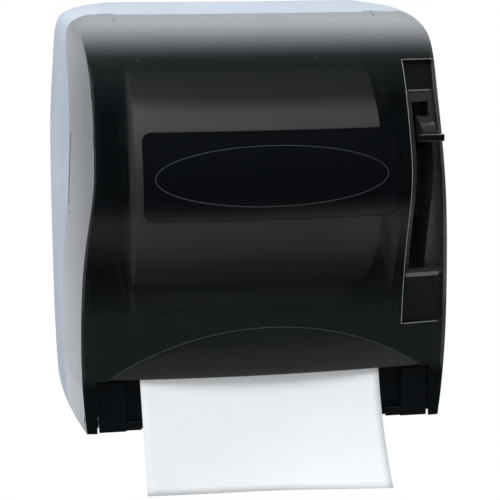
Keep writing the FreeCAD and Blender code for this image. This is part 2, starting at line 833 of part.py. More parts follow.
def guide_shell(outer_inset, inner_inset, z_low, z_high, x_low, x_high):
    """Piece of a skin that follows the bowed front, between two insets."""
    block = box_between(Vector(x_low, -depth - 20, z_low), Vector(x_high, -120, z_high))
    return block.common(front_solid(outer_inset)).cut(front_solid(inner_inset))


def make_guide():
    """Recessed panel with the lever's slot, its ramps and ledge, side webs, shaft bracket and standoffs."""
    sides = side_solid(wall + guide_gap)
    far = half_width_max
    panel = guide_shell(PANEL_BACK, PANEL_BACK + SKIN, ledge_z - 1, panel_top, guide_left, far)
    ledge = guide_shell(FLUSH, PANEL_BACK + SKIN, ledge_z - SKIN, ledge_z, guide_left, far)
    lower = guide_shell(FLUSH, FLUSH + SKIN, guide_bottom, ledge_z, guide_left, far)
    ramp = bowed_polygon([(front_y(guide_top, FLUSH), guide_top), (front_y(panel_top, PANEL_BACK), panel_top),
                          (front_y(panel_top - SKIN, PANEL_BACK), panel_top - SKIN),
                          (front_y(panel_top, PANEL_BACK + SKIN), panel_top - 1),
                          (front_y(guide_top, FLUSH + SKIN), guide_top)])
    ramp = ramp.common(box_between(Vector(guide_left, -BEYOND, 0), Vector(far, 0, BEYOND)))
    left_web = guide_shell(FLUSH, 26.0, guide_bottom, guide_top, guide_left, guide_left + 2.2)
    right_web = guide_shell(PANEL_BACK, 30.0, ledge_z - 1, panel_top, bracket_x, bracket_end)
    bracket_top = (front_y(panel_top - 25, BRACKET_SETBACK), panel_top - 18)
    bracket_low = (front_y(ledge_z + 25, BRACKET_SETBACK), ledge_z + 12)
    bracket = side_polygon([(lever_y + 9, lever_z - 9), (lever_y + 9, lever_z + 9),
                            bracket_top, bracket_low], bracket_x, bracket_end, 8.0)
    window = side_polygon([(lever_y - 30, lever_z), (bracket_top[0] + 16, bracket_top[1] - 26),
                           (bracket_low[0] + 16, bracket_low[1] + 22)], bracket_x - 1, bracket_end + 1, 8.0)
    guide = panel.fuse([ledge, lower, ramp, left_web, right_web]).common(sides)
    guide = guide.fuse(bracket.cut(window))
    slot = box_between(Vector(lever_x - 1.0, -BEYOND, ledge_z + 0.01),
                       Vector(lever_end + 1.2, SLOT_BACK, panel_top - 8))
    guide = guide.cut(slot)
    for y, z in (top_standoff, low_standoff):
        guide = guide.fuse(disc(4.0, right_frame_end + 0.1, guide_left + 1, y, z))
    shaft_hole = disc(size.lever_shaft_radius + size.fit, bracket_x - 1, bracket_end + 1, lever_y, lever_z)
    return guide.cut(shaft_hole).removeSplitter()


shape_part("lever_guide", make_guide())


# ---------------------------------------------------------------- front guard and tear bar

guard_outline = [(guard_top_y + guard_lip, guard_top + 1.4), (guard_top_y, guard_top),
                 (guard_low_y, guard_low),
                 (guard_low_y + guard_skin, guard_low), (guard_top_y + guard_skin, guard_top - 1.6),
                 (guard_top_y + guard_lip, guard_top - 0.6)]
shape_part("front_guard", side_polygon(guard_outline, left_frame_x, gear_x + size.gear_width, 0.8))

tear_bar = doc.addObject("PartDesign::Body", "tear_bar")
bar_sketch = plane_sketch(tear_bar, "BarOutline", "XY_Plane", 0.0)
add_outline(bar_sketch, [(roll_left - 0.5, 0), (roll_right + 0.5, 0), (roll_right + 0.5, size.tear_bar_depth),
                         (roll_left - 0.5, size.tear_bar_depth)], 0.0)
pad_sketch(tear_bar, "BarPlate", bar_sketch, "Sizes.tear_bar_thickness")
doc.recompute()
full_bar = tear_bar.Shape.Volume
tooth_sketch = plane_sketch(tear_bar, "ToothGap", "XY_Plane", 0.0)
half_tooth = size.tear_tooth / 2
first_tooth = roll_left - 0.5 + half_tooth
add_outline(tooth_sketch, [(first_tooth - half_tooth, -0.5), (first_tooth + half_tooth, -0.5),
                           (first_tooth + half_tooth, 0), (first_tooth, 0.8 * half_tooth),
                           (first_tooth - half_tooth, 0)], 0.0)
tooth_gap = tear_bar.newObject("PartDesign::Pocket", "ToothPocket")
tooth_gap.Profile = tooth_sketch
tooth_gap.Type = "ThroughAll"
tooth_gap.Midplane = True
tooth_sketch.Visibility = False
tooth_count = int((roll_right - roll_left + 1) / size.tear_tooth)
teeth = tear_bar.newObject("PartDesign::LinearPattern", "TearTeeth")
teeth.Originals = [tooth_gap]
teeth.Direction = (tooth_sketch, ["H_Axis"])
teeth.Length = size.tear_tooth * (tooth_count - 1)
teeth.Occurrences = tooth_count
tear_bar.Tip = teeth
doc.recompute()
assert tear_bar.Shape.Volume < full_bar - tooth_count, "tear bar has no teeth"
bar_origin = bar_start - web_normal * (bar_drop + size.tear_bar_thickness)
tear_bar.Placement = FreeCAD.Placement(bar_origin, FreeCAD.Rotation(ALONG_X, size.web_exit_angle))
keep("tear_bar", tear_bar)


# ---------------------------------------------------------------- shafts and bushes

def ring(name, outer, inner, length, x, y, z):
    """Tube along X; outer, inner and length are expressions on the sheet."""
    tube = doc.addObject("Part::Cut", name)
    tube.Base = rod(name + "_outside", outer, length, x, y, z)
    tube.Tool = rod(name + "_bore", inner, length, x, y, z)
    return tube


guide_shaft = rod("lever_shaft", "Sizes.lever_shaft_radius", "%f" % (bracket_end + 1.5 - right_frame_x),
                  right_frame_x, lever_y, lever_z)
keep("lever_shaft", guide_shaft)

feed_start = left_frame_x - 1.5
feed_end = gear_x + size.gear_width + 3.0
keep("feed_shaft", rod("feed_shaft", "Sizes.feed_shaft_radius", "%f" % (feed_end - feed_start),
                       feed_start, feed_y, feed_z))
bushes = [ring("FeedBushLeft", "Sizes.bush_radius", "Sizes.feed_shaft_radius + Sizes.fit",
               "Sizes.frame_thickness - 1", left_frame_x, feed_y, feed_z),
          ring("FeedBushRight", "Sizes.bush_radius", "Sizes.feed_shaft_radius + Sizes.fit",
               "Sizes.frame_thickness", right_frame_x, feed_y, feed_z)]
compound("feed_bushes", bushes)

core_start = left_frame_end + 1.2
core_end = right_frame_x - 1.0
keep("feed_core", ring("feed_core", "Sizes.feed_core_radius", "Sizes.feed_shaft_radius",
                       "%f" % (core_end - core_start), core_start, feed_y, feed_z))
TYRES = 4
tyre_pitch = (size.roll_width - 4.0 - size.tyre_width) / (TYRES - 1)
tyres = [ring("FeedTyre%d" % number, "Sizes.feed_radius", "Sizes.feed_core_radius", "Sizes.tyre_width",
              roll_left + 2.0 + number * tyre_pitch, feed_y, feed_z) for number in range(TYRES)]
compound("feed_tyres", tyres)

roller_start = arm_left + size.arm_plate + size.running_gap
roller_end = arm_right - size.arm_plate - size.running_gap
keep("pressure_roller", ring("pressure_roller", "Sizes.pressure_radius", "Sizes.pressure_shaft_radius",
                             "%f" % (roller_end - roller_start), roller_start,
                             pressure_center.y, pressure_center.z))
keep("pressure_shaft", rod("pressure_shaft", "Sizes.pressure_shaft_radius",
                           "%f" % (arm_right - arm_left + 0.4),
                           arm_left - 0.2, pressure_center.y, pressure_center.z))


# ---------------------------------------------------------------- pressure arm

def make_pressure_arm():
    """Cradle: two end plates joined by a plate under the pressure roller."""
    plate_z = arm_pivot.z - 3.0
    back_y = arm_pivot.y + 34.0
    outline = [(arm_pivot.y - 4.5, arm_pivot.z - 4.5), (back_y, plate_z - 1.5), (back_y, plate_z + 4),
               (pressure_center.y + 6, pressure_center.z - 4), (pressure_center.y + 4, pressure_center.z + 5),
               (pressure_center.y - 5, pressure_center.z + 4), (arm_pivot.y - 4.5, arm_pivot.z + 4.5)]
    skin = size.arm_plate
    arm = box_between(Vector(arm_left, arm_pivot.y + 6, plate_z - 1.5),
                      Vector(arm_right, back_y, plate_z + 0.5))
    for x in (arm_left, arm_right - skin):
        arm = arm.fuse(side_polygon(outline, x, x + skin, 4.0))
    arm = arm.cut(disc(size.pressure_shaft_radius + size.fit, arm_left - 1, arm_right + 1,
                       pressure_center.y, pressure_center.z))
    arm = arm.cut(disc(size.arm_pin_radius + size.fit, arm_left - 1, arm_right + 1, arm_pivot.y, arm_pivot.z))
    return arm.removeSplitter()


shape_part("pressure_arm", make_pressure_arm())
arm_pins = [rod("ArmPin", "Sizes.arm_pin_radius", "Sizes.arm_plate + 3.4", x, arm_pivot.y, arm_pivot.z)
            for x in (arm_left - 3.4, arm_right - size.arm_plate)]
compound("arm_pins", arm_pins)


STEPS_PER_TURN = 10
WIRE_SIDES = 4


def coil(center, axis, radius, wire, length, turns):
    """Helical spring as a chain of short facets along the wire."""
    turn = FreeCAD.Rotation(UP, axis)
    steps = int(turns * STEPS_PER_TURN)
    rings = []
    for step in range(steps + 1):
        angle = 2 * math.pi * step / STEPS_PER_TURN
        out = Vector(math.cos(angle), math.sin(angle), 0)
        middle = out * radius + UP * (length * step / steps)
        ring_points = []
        for corner in range(WIRE_SIDES):
            around = 2 * math.pi * corner / WIRE_SIDES
            point = middle + out * (wire * math.cos(around)) + UP * (wire * math.sin(around))
            ring_points.append(center + turn.multVec(point))
        rings.append(ring_points)
    faces = [Part.Face(Part.makePolygon(ring + ring[:1])) for ring in (rings[0], rings[-1])]
    for lower, upper in zip(rings, rings[1:]):
        for corner in range(WIRE_SIDES):
            after = (corner + 1) % WIRE_SIDES
            a, b, c, d = lower[corner], lower[after], upper[after], upper[corner]
            faces.append(Part.Face(Part.makePolygon([a, b, c, a])))
            faces.append(Part.Face(Part.makePolygon([a, c, d, a])))
    solid = Part.makeSolid(Part.makeShell(faces))
    if solid.Volume < 0:
        solid.reverse()
    return solid


spring_wire = 0.6
spring_foot = floor_high + spring_wire + 0.1
spring_head = arm_pivot.z - 4.5 - spring_wire - 0.1
pressure_springs = [coil(Vector(x, arm_pivot.y + 26, spring_foot), UP, 4.0, spring_wire,
                         spring_head - spring_foot, 4) for x in (arm_left + 30, arm_right - 30)]
shape_part("pressure_springs", Part.makeCompound(pressure_springs))


# ---------------------------------------------------------------- towel roll, hubs and left roll arm

keep("towel_roll", ring("towel_roll", "Sizes.roll_radius", "Sizes.core_radius + Sizes.fit",
                        "Sizes.roll_width", roll_left, roll_y, roll_z))
keep("roll_core", ring("roll_core", "Sizes.core_radius", "Sizes.core_radius - Sizes.core_wall",
                       "Sizes.roll_width - 0.4", roll_left + 0.2, roll_y, roll_z))


def hub(name, x_base, direction):
    """Tapered hub that centres one end of the core."""
    cone = doc.addObject("Part::Cone", name)
    cone.setExpression("Radius1", "Sizes.core_radius - Sizes.core_wall - Sizes.hub_clearance")
    cone.setExpression("Radius2", "Sizes.core_radius - Sizes.core_wall - Sizes.hub_clearance - 2")
    cone.setExpression("Height", "Sizes.hub_reach + Sizes.frame_clearance")
    cone.Placement = FreeCAD.Placement(Vector(x_base, roll_y, roll_z),
                                       FreeCAD.Rotation(Vector(0, 1, 0), 90.0 * direction))
    return cone


keep("hub_right", hub("hub_right", right_frame_x - 0.05, -1))

arm_inner_x = roll_left - 1.6
arm_thickness = 4.0
keep("hub_left", hub("hub_left", arm_inner_x + 0.05, 1))
hub_half = size.core_radius + 2.0
post_radius = 2.5
barrel_radius = 5.0
arm_outline = [(arm_post_y + 2, roll_z - 17), (arm_post_y + 2, roll_z + 17),
               (roll_y + 48, roll_z + 16), (roll_y + 14, roll_z + hub_half),
               (roll_y - 14, roll_z + hub_half), (roll_y - hub_half, roll_z + 8),
               (roll_y - hub_half, roll_z - 8), (roll_y - 14, roll_z - hub_half),
               (roll_y + 14, roll_z - hub_half), (roll_y + 48, roll_z - 16)]
roll_arm = side_plate("roll_arm_left", arm_inner_x - arm_thickness, "%f" % arm_thickness, arm_outline, 8.0, [])
barrel_sketch = plane_sketch(roll_arm, "BarrelOutline", "XY_Plane", roll_z - 17)
barrel_sketch.addGeometry(Part.Circle(Vector(arm_post_x, arm_post_y, 0), UP, barrel_radius), False)
pad_sketch(roll_arm, "Barrel", barrel_sketch, "34")
bore_sketch = plane_sketch(roll_arm, "BarrelBore", "XY_Plane", roll_z - 20)
bore_sketch.addGeometry(Part.Circle(Vector(arm_post_x, arm_post_y, 0), UP, post_radius + size.fit), False)
barrel_bore = roll_arm.newObject("PartDesign::Pocket", "BarrelPocket")
barrel_bore.Profile = bore_sketch
barrel_bore.Type = "ThroughAll"
barrel_bore.Midplane = True
bore_sketch.Visibility = False
keep("roll_arm_left", roll_arm)


def make_arm_bracket():
    """Wall plate with two lugs for the roll arm's pin."""
    low, high = roll_z - 42, roll_z + 42
    plate = box_between(Vector(arm_post_x - 8, rear_y - 2.5, low), Vector(arm_post_x + 8, rear_y, high))
    bracket = plate
    for z in (roll_z - 17.4 - 4, roll_z + 17.4):
        lug = box_between(Vector(arm_post_x - 5, arm_post_y, z), Vector(arm_post_x + 5, rear_y - 1, z + 4))
        lug = lug.fuse(Part.makeCylinder(5.0, 4.0, Vector(arm_post_x, arm_post_y, z)))
        bracket = bracket.fuse(lug)
    holes = [Part.makeCylinder(post_radius + size.fit, high - low, Vector(arm_post_x, arm_post_y, low))]
    for x, z in arm_screw_places:
        holes.append(Part.makeCylinder(size.screw_radius + size.fit, 20, Vector(x, -20, z), Vector(0, 1, 0)))
    return bracket.cut(Part.makeCompound(holes)).removeSplitter()


shape_part("arm_bracket", make_arm_bracket())
arm_post = doc.addObject("Part::Cylinder", "arm_post")
arm_post.Radius = post_radius
arm_post.Height = 2 * (17.4 + 4.5)
arm_post.Placement = FreeCAD.Placement(Vector(arm_post_x, arm_post_y, roll_z - 17.4 - 4.5), FreeCAD.Rotation())
keep("arm_post", arm_post)
arm_screws = [screw(x, z, rear_y - 2.5, screw_end) for x, z in arm_screw_places]
shape_part("frame_screws", Part.makeCompound(frame_screws + arm_screws))


# ---------------------------------------------------------------- gears

PRESSURE_ANGLE = math.radians(20)


def tooth_half_angle(teeth, radius):
    """Half the angle of an involute tooth at a radius."""
    module = size.gear_module
    pitch = module * teeth / 2
    base = pitch * math.cos(PRESSURE_ANGLE)
    at_pitch = (math.pi * module / 2 - size.gear_backlash) / (2 * pitch)
    if radius < base:
        radius = base
    slope = math.acos(base / radius)
    return at_pitch + (math.tan(PRESSURE_ANGLE) - PRESSURE_ANGLE) - (math.tan(slope) - slope)


def gear_points(teeth, middle_angles):
    """Points of the given teeth, by angle from straight down towards the front, round the origin."""
    module = size.gear_module
    pitch = module * teeth / 2
    root, tip = pitch - 1.25 * module, pitch + module
    radii = [root + (tip - root) * share for share in (0.0, 0.2, 0.45, 0.7, 1.0)]
    points = []
    for middle in middle_angles:
        flank = [(middle - tooth_half_angle(teeth, radius), radius) for radius in radii]
        flank += [(middle + tooth_half_angle(teeth, radius), radius) for radius in reversed(radii)]
        points += [(-radius * math.sin(angle), -radius * math.cos(angle)) for angle, radius in flank]
    return points


def prism_from(points, x_start, x_end, center):
    """Prism along X from side-view points round a centre."""
    corners = [Vector(x_start, center.y + y, center.z + z) for y, z in points]
    return Part.Face(Part.makePolygon(corners + corners[:1])).extrude(Vector(x_end - x_start, 0, 0))


def make_sector():
    """Toothed sector of the lever: rim, two spokes and a ring round the lever's hub."""
    teeth = size.sector_full_teeth
    pitch_step = 2 * math.pi / teeth
    mesh = math.radians(size.feed_angle)
    before = int(math.radians(5.0) / pitch_step)
    after = int(math.radians(size.lever_travel + 5.0) / pitch_step)
    middles = [mesh + number * pitch_step for number in range(-before, after + 1)]
    pitch = size.gear_module * teeth / 2
    rim_inner = pitch - 11.0
    rim = gear_points(teeth, middles)
    inner_angles = [middles[-1] + (middles[0] - middles[-1]) * share / 12 for share in range(13)]
    rim += [(-rim_inner * math.sin(angle), -rim_inner * math.cos(angle)) for angle in inner_angles]
    x_end = gear_x + size.gear_width
    sector = prism_from(rim, gear_x, x_end, lever_center)
    for angle in (middles[0] + 0.05, (middles[0] + middles[-1]) / 2, middles[-1] - 0.05):
        across_y, across_z = 4.5 * math.cos(angle), -4.5 * math.sin(angle)
        far_y, far_z = -(rim_inner + 2) * math.sin(angle), -(rim_inner + 2) * math.cos(angle)
        spoke = [(across_y, across_z), (far_y + across_y, far_z + across_z),
                 (far_y - across_y, far_z - across_z), (-across_y, -across_z)]
        sector = sector.fuse(prism_from(spoke, gear_x, x_end, lever_center))
    ring_disc = disc(size.lever_hub_radius + 7, gear_x, x_end, lever_y, lever_z)
    bore = disc(size.lever_hub_radius + size.fit, gear_x - 1, x_end + 1, lever_y, lever_z)
    return sector.fuse(ring_disc).cut(bore).removeSplitter()


def make_pinion():
    """Pinion on the feed shaft with the collar of its one-way clutch."""
    teeth = size.pinion_teeth
    step = 2 * math.pi / teeth
    facing = math.radians(size.feed_angle) + math.pi
    middles = [facing + (number + 0.5) * step for number in range(int(teeth))]
    wheel = prism_from(gear_points(teeth, middles), gear_x, gear_x + size.gear_width, feed_center)
    collar = disc(size.feed_shaft_radius + 5, gear_x + size.gear_width - 0.5, gear_x + size.gear_width + 2.6,
                  feed_y, feed_z)
    bore = disc(size.feed_shaft_radius, gear_x - 1, gear_x + size.gear_width + 4, feed_y, feed_z)
    return wheel.fuse(collar).cut(bore).removeSplitter()


shape_part("gear_sector", make_sector())
shape_part("pinion", make_pinion())


# ---------------------------------------------------------------- lever

def make_lever_arm():
    """Hub and arm of the lever with an I section."""
    half_grip = size.grip_thickness / 2
    hub_radius = size.lever_hub_radius
    outline = [(lever_y + 0.5 * hub_radius, lever_z + 0.95 * hub_radius), (grip_y + 45, grip_z + 11),
               (grip_y + 26, grip_z + 14), (grip_y + 12, grip_z + 9), (grip_y + 3.6, grip_z + half_grip),
               (grip_y + 3.6, grip_z - half_grip), (grip_y + 20, grip_z - 7), (grip_y + 45, grip_z - 10),
               (lever_y + 0.5 * hub_radius, lever_z - 0.95 * hub_radius)]
    arm = side_polygon(outline, lever_x, lever_end, 2.5)
    recess = [(lever_y - hub_radius - 4, lever_z + 8), (grip_y + 46, grip_z + 7),
              (grip_y + 30, grip_z + 8), (grip_y + 30, grip_z - 3), (grip_y + 46, grip_z - 6),
              (lever_y - hub_radius - 4, lever_z - 4)]
    for x in (lever_x - 1, lever_end - 4):
        arm = arm.cut(side_polygon(recess, x, x + 5, 2.0))
    hub_disc = disc(hub_radius, right_frame_end + 0.8, lever_end + 1.0, lever_y, lever_z)
    bore = disc(size.lever_shaft_radius + size.fit, right_frame_end, lever_end + 2, lever_y, lever_z)
    return arm.fuse(hub_disc).cut(bore).removeSplitter()


shape_part("lever_arm", make_lever_arm())

grip = doc.addObject("Part::Box", "grip_block")
grip.setExpression("Length", "Sizes.grip_width")
grip.Width = 7.0
grip.setExpression("Height", "Sizes.grip_thickness")
grip.Placement = FreeCAD.Placement(
    Vector(lever_x + (size.lever_width - size.grip_width) / 2 - 0.5, grip_y - 3.5,
           grip_z - size.grip_thickness / 2),
    FreeCAD.Rotation())
doc.recompute()
rounded_grip = doc.addObject("Part::Fillet", "lever_grip")
rounded_grip.Base = grip
front_edges = [number for number, edge in enumerate(grip.Shape.Edges, start=1)
               if edge.BoundBox.YMax < grip_y and (edge.BoundBox.ZLength < 0.1 or edge.BoundBox.XLength < 0.1)]
rounded_grip.Edges = [(number, 1.6, 1.6) for number in front_edges]
keep("lever_grip", rounded_grip)

lever_spring = coil(Vector(gear_x + size.gear_width + 1.4, lever_y, lever_z), ALONG_X,
                    size.lever_hub_radius + 2.0, 0.8, lever_x - gear_x - size.gear_width - 2.8, 4)
shape_part("lever_spring", lever_spring)


# ---------------------------------------------------------------- towel web and hanging sheet

def tangent_web():
    """Centre points of the web from the roll, over the pressure roller, to the bend at the tear bar."""
    roll_reach = size.roll_radius + web_offset
    roller_reach = size.pressure_radius + web_offset
    gap = pressure_center - roll_center
    away = math.acos(-(roll_reach + roller_reach) / gap.Length)
    heading = math.atan2(gap.z, gap.y) - away
    normal = Vector(0, math.cos(heading), math.sin(heading))
    start = roll_center - normal * roll_reach
    points = [start]
    turn_start = math.atan2(normal.z, normal.y)
    turn_end = math.atan2(web_normal.z, web_normal.y)
    for share in (0.0, 0.33, 0.67, 1.0):
        angle = turn_start + (turn_end - turn_start) * share
        points.append(pressure_center + Vector(0, math.cos(angle), math.sin(angle)) * roller_reach)
    return points


BEND_RADIUS = 3.0


def hanging_web(start):
    """Centre points from the bend over the tear bar to the lower edge of the sheet."""
    drop = start.z - sheet_bottom_z
    lean = math.atan2(drop, size.sheet_lead)
    center = start - web_normal * BEND_RADIUS
    points = []
    first = math.atan2(web_normal.z, web_normal.y)
    last = lean + math.pi / 2
    for number in range(5):
        angle = first + (last - first) * number / 4
        points.append(center + Vector(0, math.cos(angle), math.sin(angle)) * BEND_RADIUS)
    end = points[-1]
    points.append(Vector(0, end.y - size.sheet_lead, sheet_bottom_z))
    return points


def web_solid(points, first_step=None):
    """Thin sheet along a centre line in the side view."""
    half = size.web_thickness / 2
    upper, lower = [], []
    for index, point in enumerate(points):
        before = points[max(index - 1, 0)]
        after = points[min(index + 1, len(points) - 1)]
        step = (after - before).normalize()
        if index == 0 and first_step:
            step = first_step
        side = Vector(0, step.z, -step.y) * half
        upper.append(point + side)
        lower.append(point - side)
    corners = [(point.y, point.z) for point in upper + lower[::-1]]
    return side_polygon(corners, roll_left, roll_right)


web_points = tangent_web() + [tear_tip]
shape_part("towel_web", web_solid(web_points))
shape_part("towel_sheet", web_solid(hanging_web(tear_tip), web_step))


# ---------------------------------------------------------------- latches

def make_latch(side):
    """Keyhole plate with a thumb tab; it slides to let the cover's peg out."""
    middle = latch_middle(side)
    seam = seam_y(middle)
    way = -side
    front, back = seam + 1.9, seam + 1.9 + size.latch_plate
    plate_half = head_half + 2.6
    low_x, high_x = sorted((middle - way * 12, middle + way * 9))
    plate = box_between(Vector(low_x, front, latch_z - plate_half), Vector(high_x, back, latch_z + plate_half))
    tab_middle = middle - way * size.latch_travel / 2
    tab = box_between(Vector(tab_middle - size.latch_tab_width / 2, front, latch_z + plate_half - 1),
                      Vector(tab_middle + size.latch_tab_width / 2, back, half_height - 5.2))
    slot_low, slot_high = sorted((middle - way * size.latch_travel, middle + way * keyhole_half))
    narrow = box_between(Vector(slot_low, front - 1, latch_z - keyhole_half),
                         Vector(slot_high, back + 1, latch_z + keyhole_half))
    wide_middle = middle - way * size.latch_travel
    wide = box_between(Vector(wide_middle - keyhole_half, front - 1, latch_z - head_half - size.running_gap),
                       Vector(wide_middle + keyhole_half, back + 1, latch_z + head_half + size.running_gap))
    return plate.fuse(tab).cut(narrow).cut(wide).removeSplitter()


latch_springs = []
for name, side in LATCH_SIDES:
    shape_part("latch_" + name, make_latch(side))
    middle = latch_middle(side)
    start = min(middle - side * 9.4, middle - side * 14.6)
    center = Vector(start, seam_y(middle) + 2.9, latch_z)
    latch_springs.append(coil(center + Vector(0.5, 0, 0), ALONG_X, 2.0, 0.35, 4.2, 3))
shape_part("latch_springs", Part.makeCompound(latch_springs))


# ---------------------------------------------------------------- checks and export

doc.recompute()
for item in doc.Objects:
    assert "Invalid" not in item.State and "Error" not in item.State, item.Label
os.makedirs("parts", exist_ok=True)
for feature in parts:
    assert not feature.Shape.isNull() and feature.Shape.isValid(), feature.Label
    assert feature.Shape.Solids, feature.Label
    feature.Shape.exportStep("parts/%s.step" % feature.Label)
print("%d sub-parts written" % len(parts))
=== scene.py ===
import math

import bmesh
import bpy
from mathutils import Matrix, Vector
from mathutils.bvhtree import BVHTree


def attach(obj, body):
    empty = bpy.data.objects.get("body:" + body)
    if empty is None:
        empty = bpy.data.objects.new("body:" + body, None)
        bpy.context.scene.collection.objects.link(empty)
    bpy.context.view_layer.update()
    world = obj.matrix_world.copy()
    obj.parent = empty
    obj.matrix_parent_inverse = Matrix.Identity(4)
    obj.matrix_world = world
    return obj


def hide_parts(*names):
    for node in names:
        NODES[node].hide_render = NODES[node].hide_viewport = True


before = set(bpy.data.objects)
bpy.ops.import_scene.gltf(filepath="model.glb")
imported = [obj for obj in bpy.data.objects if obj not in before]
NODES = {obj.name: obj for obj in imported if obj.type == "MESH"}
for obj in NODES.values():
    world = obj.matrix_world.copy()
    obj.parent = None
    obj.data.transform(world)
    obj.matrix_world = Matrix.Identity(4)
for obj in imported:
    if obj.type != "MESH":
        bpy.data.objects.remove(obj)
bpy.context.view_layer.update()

# Lever roll-towel dispenser, dressed. Metres: the wall is Y = 0, the user stands at -Y,
# +X is to the right, +Z is up and Z = 0 is the middle of the case.

CASE_MIDDLE = (0.0, -0.1, 0.0)
PANEL_CENTER_Z = 0.0477          # window panel and oval
AHEAD_OF_COVER = -0.4            # Y from which rays are cast back at the cover
WHITE = (1.0, 1.0, 1.0, 1.0)


# ---------------------------------------------------------------- helpers for objects

def link_object(name, data):
    """Object at the origin that holds this data."""
    item = bpy.data.objects.new(name, data)
    bpy.context.scene.collection.objects.link(item)
    return item


def mesh_object(work, name, material):
    """Object made of a bmesh, with one material; it ends the bmesh."""
    mesh = bpy.data.meshes.new(name)
    work.to_mesh(mesh)
    work.free()
    mesh.materials.append(material)
    return link_object(name, mesh)


# ---------------------------------------------------------------- helpers for node trees

def feed(links, socket, value):
    """Sets a socket to a number or a colour, or links another socket into it."""
    if isinstance(value, (int, float, tuple)):
        socket.default_value = value
    else:
        links.new(value, socket)


def noise(nodes, links, vector, scale, detail, roughness):
    """3-D noise node fed by a vector socket."""
    node = nodes.new("ShaderNodeTexNoise")
    node.inputs["Detail"].default_value = detail
    node.inputs["Roughness"].default_value = roughness
    links.new(vector, node.inputs["Vector"])
    feed(links, node.inputs["Scale"], scale)
    return node.outputs["Fac"]


def spread(nodes, links, value, low, high, to_low, to_high, interpolation="LINEAR"):
    """Map Range between two levels."""
    node = nodes.new("ShaderNodeMapRange")
    node.interpolation_type = interpolation
    links.new(value, node.inputs["Value"])
    for label, number in (("From Min", low), ("From Max", high), ("To Min", to_low), ("To Max", to_high)):
        feed(links, node.inputs[label], number)
    return node.outputs["Result"]


def calculate(nodes, links, operation, first, second):
    """Math node on two sockets or numbers."""
    node = nodes.new("ShaderNodeMath")
    node.operation = operation
    feed(links, node.inputs[0], first)
    feed(links, node.inputs[1], second)
    return node.outputs["Value"]


def blend_colours(nodes, links, factor, first, second):
    """Mix of two colours by a mask."""
    node = nodes.new("ShaderNodeMix")
    node.data_type = "RGBA"
    links.new(factor, node.inputs["Factor"])
    feed(links, node.inputs[6], first)
    feed(links, node.inputs[7], second)
    return node.outputs[2]


def axes(nodes, links, vector):
    """The X, Y and Z sockets of a vector."""
    split = nodes.new("ShaderNodeSeparateXYZ")
    links.new(vector, split.inputs["Vector"])
    return split.outputs["X"], split.outputs["Y"], split.outputs["Z"]


# ---------------------------------------------------------------- camera, light and floor

CAMERA_PLACE = (-0.19889, -1.33592, 0.24981)
CAMERA_TURN = 9.354              # degrees to the right of straight at the wall
CAMERA_DROP = 13.277             # degrees below level
CAMERA_ROLL = -0.057
CAMERA_LENS = 102.7              # mm, on a 36 mm sensor

# Name, place, target, width, height and watts.
SOFTBOXES = (
    ("overhead", (0.0, 0.25, 1.25), CASE_MIDDLE, 1.6, 1.0, 3.6),
    ("front_fill", (-0.4, -1.35, 2.0), (0.0, -0.1, -0.1), 1.5, 1.1, 41.0),
    ("front_low", (-0.3, -2.1, 0.1), (0.0, -0.1, -0.05), 1.6, 1.2, 7.5),
    ("left_side", (-1.5, -0.5, 0.5), CASE_MIDDLE, 0.9, 1.2, 8.0),
)

# Strength of the surroundings in reflections: a direction's share from and to, and the strength at each.
BEHIND_BRIGHT = (-0.05, 0.75, 0.012, 1.0)
LEFT_BRIGHTER = (-0.10, -0.45, 1.0, 1.45)
ABOVE_BRIGHTER = (0.15, 0.6, 1.0, 2.4)
COOL_REFLECTIONS = (0.95, 0.985, 1.05, 1.0)
DIFFUSE_LEVEL = 0.22

FLOOR_Z = -1.1
FLOOR_HALF_SIZE = 2.0
FLOOR_IN_REFLECTIONS = (-1.6, -1.05, 0.04, 0.85)    # floor Y from and to, brightness at each


def set_camera():
    """Long lens, a little above and to the left of the front."""
    azimuth, elevation, roll = (math.radians(turn) for turn in (CAMERA_TURN, CAMERA_DROP, CAMERA_ROLL))
    forward = Vector((math.sin(azimuth) * math.cos(elevation),
                      math.cos(azimuth) * math.cos(elevation), -math.sin(elevation)))
    right = forward.cross(Vector((0, 0, 1))).normalized()
    up = right.cross(forward)
    turned_right = right * math.cos(roll) + up * math.sin(roll)
    turned_up = up * math.cos(roll) - right * math.sin(roll)
    rows = Matrix((turned_right, turned_up, -forward)).transposed()
    lens = bpy.data.cameras.new("front_left_camera")
    lens.lens = CAMERA_LENS
    lens.sensor_width = 36.0
    lens.clip_start = 0.05
    camera = link_object("front_left_camera", lens)
    camera.matrix_world = Matrix.Translation(CAMERA_PLACE) @ rows.to_4x4()
    bpy.context.scene.camera = camera


def softbox(name, place, target, width, height, power):
    """Rectangular studio light aimed at a point, seen neither by the eye nor in gloss."""
    light = bpy.data.lights.new(name, "AREA")
    light.shape = "RECTANGLE"
    light.size = width
    light.size_y = height
    light.energy = power
    lamp = link_object(name, light)
    lamp.location = place
    lamp.rotation_euler = (Vector(target) - Vector(place)).to_track_quat("-Z", "Y").to_euler()
    lamp.visible_glossy = False
    lamp.visible_camera = False


